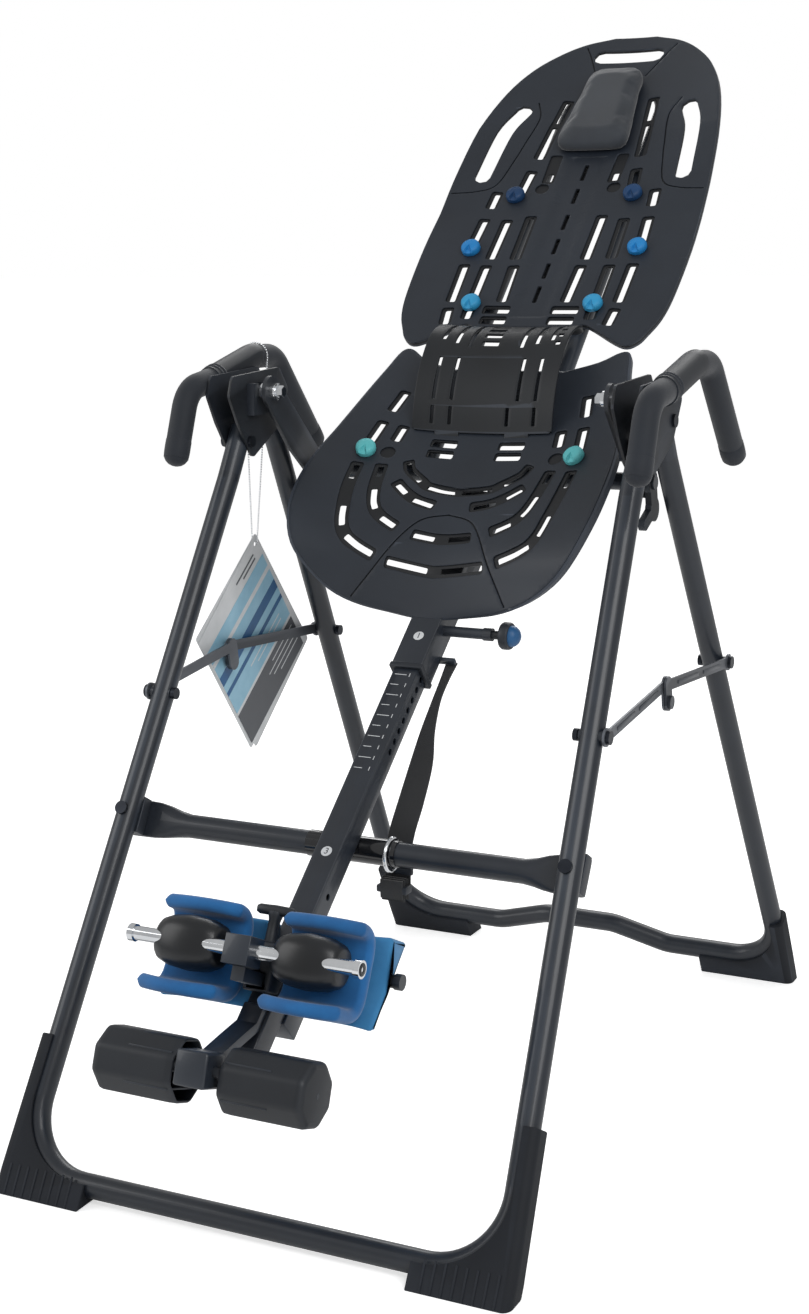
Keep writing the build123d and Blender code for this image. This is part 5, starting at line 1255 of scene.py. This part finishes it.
# ---- hanging tag: two printed leaves on a ball chain ----
TAG_X, TAG_W, TAG_H = 350.0, 220.0, 245.0
TAG = tilted(88, 603, 217)
CARD = finish("card", "#c6c9cb", "#d6d8da", (0.42, 0.5), 1.2, 0.01, cloud=18.0)
CARD_DARK = finish("card_dark", "#4d5055", "#56595e", (0.42, 0.5), 1.2, 0.01, cloud=18.0)
CARD_BLUE = finish("card_blue", "#7fb0c8", "#9cc6da", (0.42, 0.5), 1.2, 0.01, cloud=18.0)
bm = bmesh.new()
corner = Vector((12 - TAG_W / 2, 12 - TAG_H / 2, 0))
hole = disc_loop(corner, 3.5)
outline = rounded([(x * TAG_W / 2, y * TAG_H / 2) for x, y in ((-1, -1), (1, -1), (1, 1), (-1, 1))], 5)
for turn, shift in ((0, 0.0), (2.5, 0.9)):
    leaf = sheet_bmesh([outline, hole], -0.3, 0.3, 0.1)
    swing = (Matrix.Translation(corner) @ Matrix.Rotation(radians(turn), 4, "Z")
             @ Matrix.Translation(-corner))
    stand = Matrix(((0, 0, 1, -TAG_X - 0.3 + shift), (1, 0, 0, 0), (0, 1, 0, 0), (0, 0, 0, 1)))
    bmesh.ops.transform(leaf, matrix=TAG @ stand @ swing, verts=leaf.verts)
    pour(leaf, bm)
whole("tag_leaves", bm, "tag", CARD, ("hang_tag",))
for name, material, proud, prints in (
        ("tag_print_dark", CARD_DARK, 0.68, [(-104, 54, 104, 116), (-84, -104, -20, -101),
                                             (-84, -96, -40, -93)]),
        ("tag_print_blue", CARD_BLUE, 0.68, [(-104, -84, 104, 48)]),
        ("tag_print_deep", KNOB_BLUE, 0.75, [(-104, -30, 104, -12), (-104, 2, 104, 10)]),
        ("tag_print_pale", MARK_WHITE, 0.75, [(-104, -60, 104, -52), (-96, 64, -20, 66),
                                              (-96, 74, 0, 76), (-96, 84, -10, 86), (-96, 94, -30, 96),
                                              (-80, 22, 30, 24), (-80, 32, 10, 34)])):
    bm = bmesh.new()
    for low_w, low_h, high_w, high_h in prints:
        bar(bm, TAG, (-TAG_X - proud, low_w, low_h), (-TAG_X - 0.5, high_w, high_h))
        bar(bm, TAG, (-TAG_X + 0.8, low_w, low_h), (-TAG_X + 0.6 + proud, high_w, high_h))
    whole(name, bm, "tag", material)

CHAIN_Y, CHAIN_LOW_Z, CHAIN_LOOP_R, BEAD_R, BEAD_PITCH = 100.0, 751.4, 19.9, 1.6, 3.7
CHAIN_STEPS = 24
loop_middle = Vector((-HANDLE_X, 1031))
chain = []
for side in (-1, 1):
    end = Vector((-TAG_X + 4 * side, CHAIN_LOW_Z)) - loop_middle
    turn = atan2(end.y, end.x) + side * acos(CHAIN_LOOP_R / end.length)
    chain.append((loop_middle + end, turn))
start_turn, stop_turn = chain[0][1] + 2 * pi if chain[0][1] < 0 else chain[0][1], chain[1][1]
if stop_turn > pi / 2:
    stop_turn -= 2 * pi
course = [chain[0][0]]
course += [loop_middle + Vector((cos(a), sin(a))) * CHAIN_LOOP_R
           for a in (start_turn + (stop_turn - start_turn) * k / CHAIN_STEPS
                     for k in range(CHAIN_STEPS + 1))]
course.append(chain[1][0])
bm = bmesh.new()
left_over = 0.0
for a, b in zip(course, course[1:]):
    length = (b - a).length
    at = left_over
    while at < length:
        spot = a.lerp(b, at / length)
        bmesh.ops.create_uvsphere(bm, u_segments=8, v_segments=6, radius=BEAD_R * MM,
                                  matrix=Matrix.Translation(SIDE @ Vector((spot.x, CHAIN_Y, spot.y))))
        at += BEAD_PITCH
    left_over = at - length
whole("ball_chain", bm, "tag", CHROME, ("tag_chain",), 80)

# ---- plain numbers and ticks on the shaft and its sleeve ----
SHAFT_FACE, SLEEVE_FACE = 18.2, 22.0
MARK_PROFILE = [(0, -0.2), (7.5, -0.2), (7.5, 0), (0, 0)]
TICKS, TICKS_FROM, TICK_PITCH = 10, -316, 17.7


def digit(bm, text, along, out, size):
    """A number printed on a face that looks out of the shaft."""
    curve = bpy.data.curves.new("digit", "FONT")
    curve.body, curve.size, curve.align_x, curve.align_y = text, size, "CENTER", "CENTER"
    curve.resolution_u = 3
    curve.extrude = 0.05
    flat = curve_mesh(curve)
    flat.transform(SHAFT @ Matrix.Translation((0, along, out)))
    bm.from_mesh(flat)
    bpy.data.meshes.remove(flat)


for name, body, along, out, text in (("sleeve_mark", "table", -250, SLEEVE_FACE, "1"),
                                     ("shaft_mark", "shaft", -609, SHAFT_FACE, "3")):
    bm = bmesh.new()
    lathe(bm, SHAFT @ Matrix.Translation((0, along, out + 0.08)), MARK_PROFILE)
    whole(name, bm, body, MARK_WHITE)
    bm = bmesh.new()
    digit(bm, text, along, out + 0.16, 13)
    whole(f"{name}_digit", bm, body, PLASTIC)
bm = bmesh.new()
for step in range(TICKS):
    along = TICKS_FROM - step * TICK_PITCH
    bar(bm, SHAFT, (-13, along - 0.5, 18.15), (-1 if step % 2 else 5, along + 0.5, 18.27))
    bar(bm, SHAFT, (9, along - 3, 18.15), (10, along + 3, 18.27))
whole("shaft_ticks", bm, "shaft", MARK_WHITE)
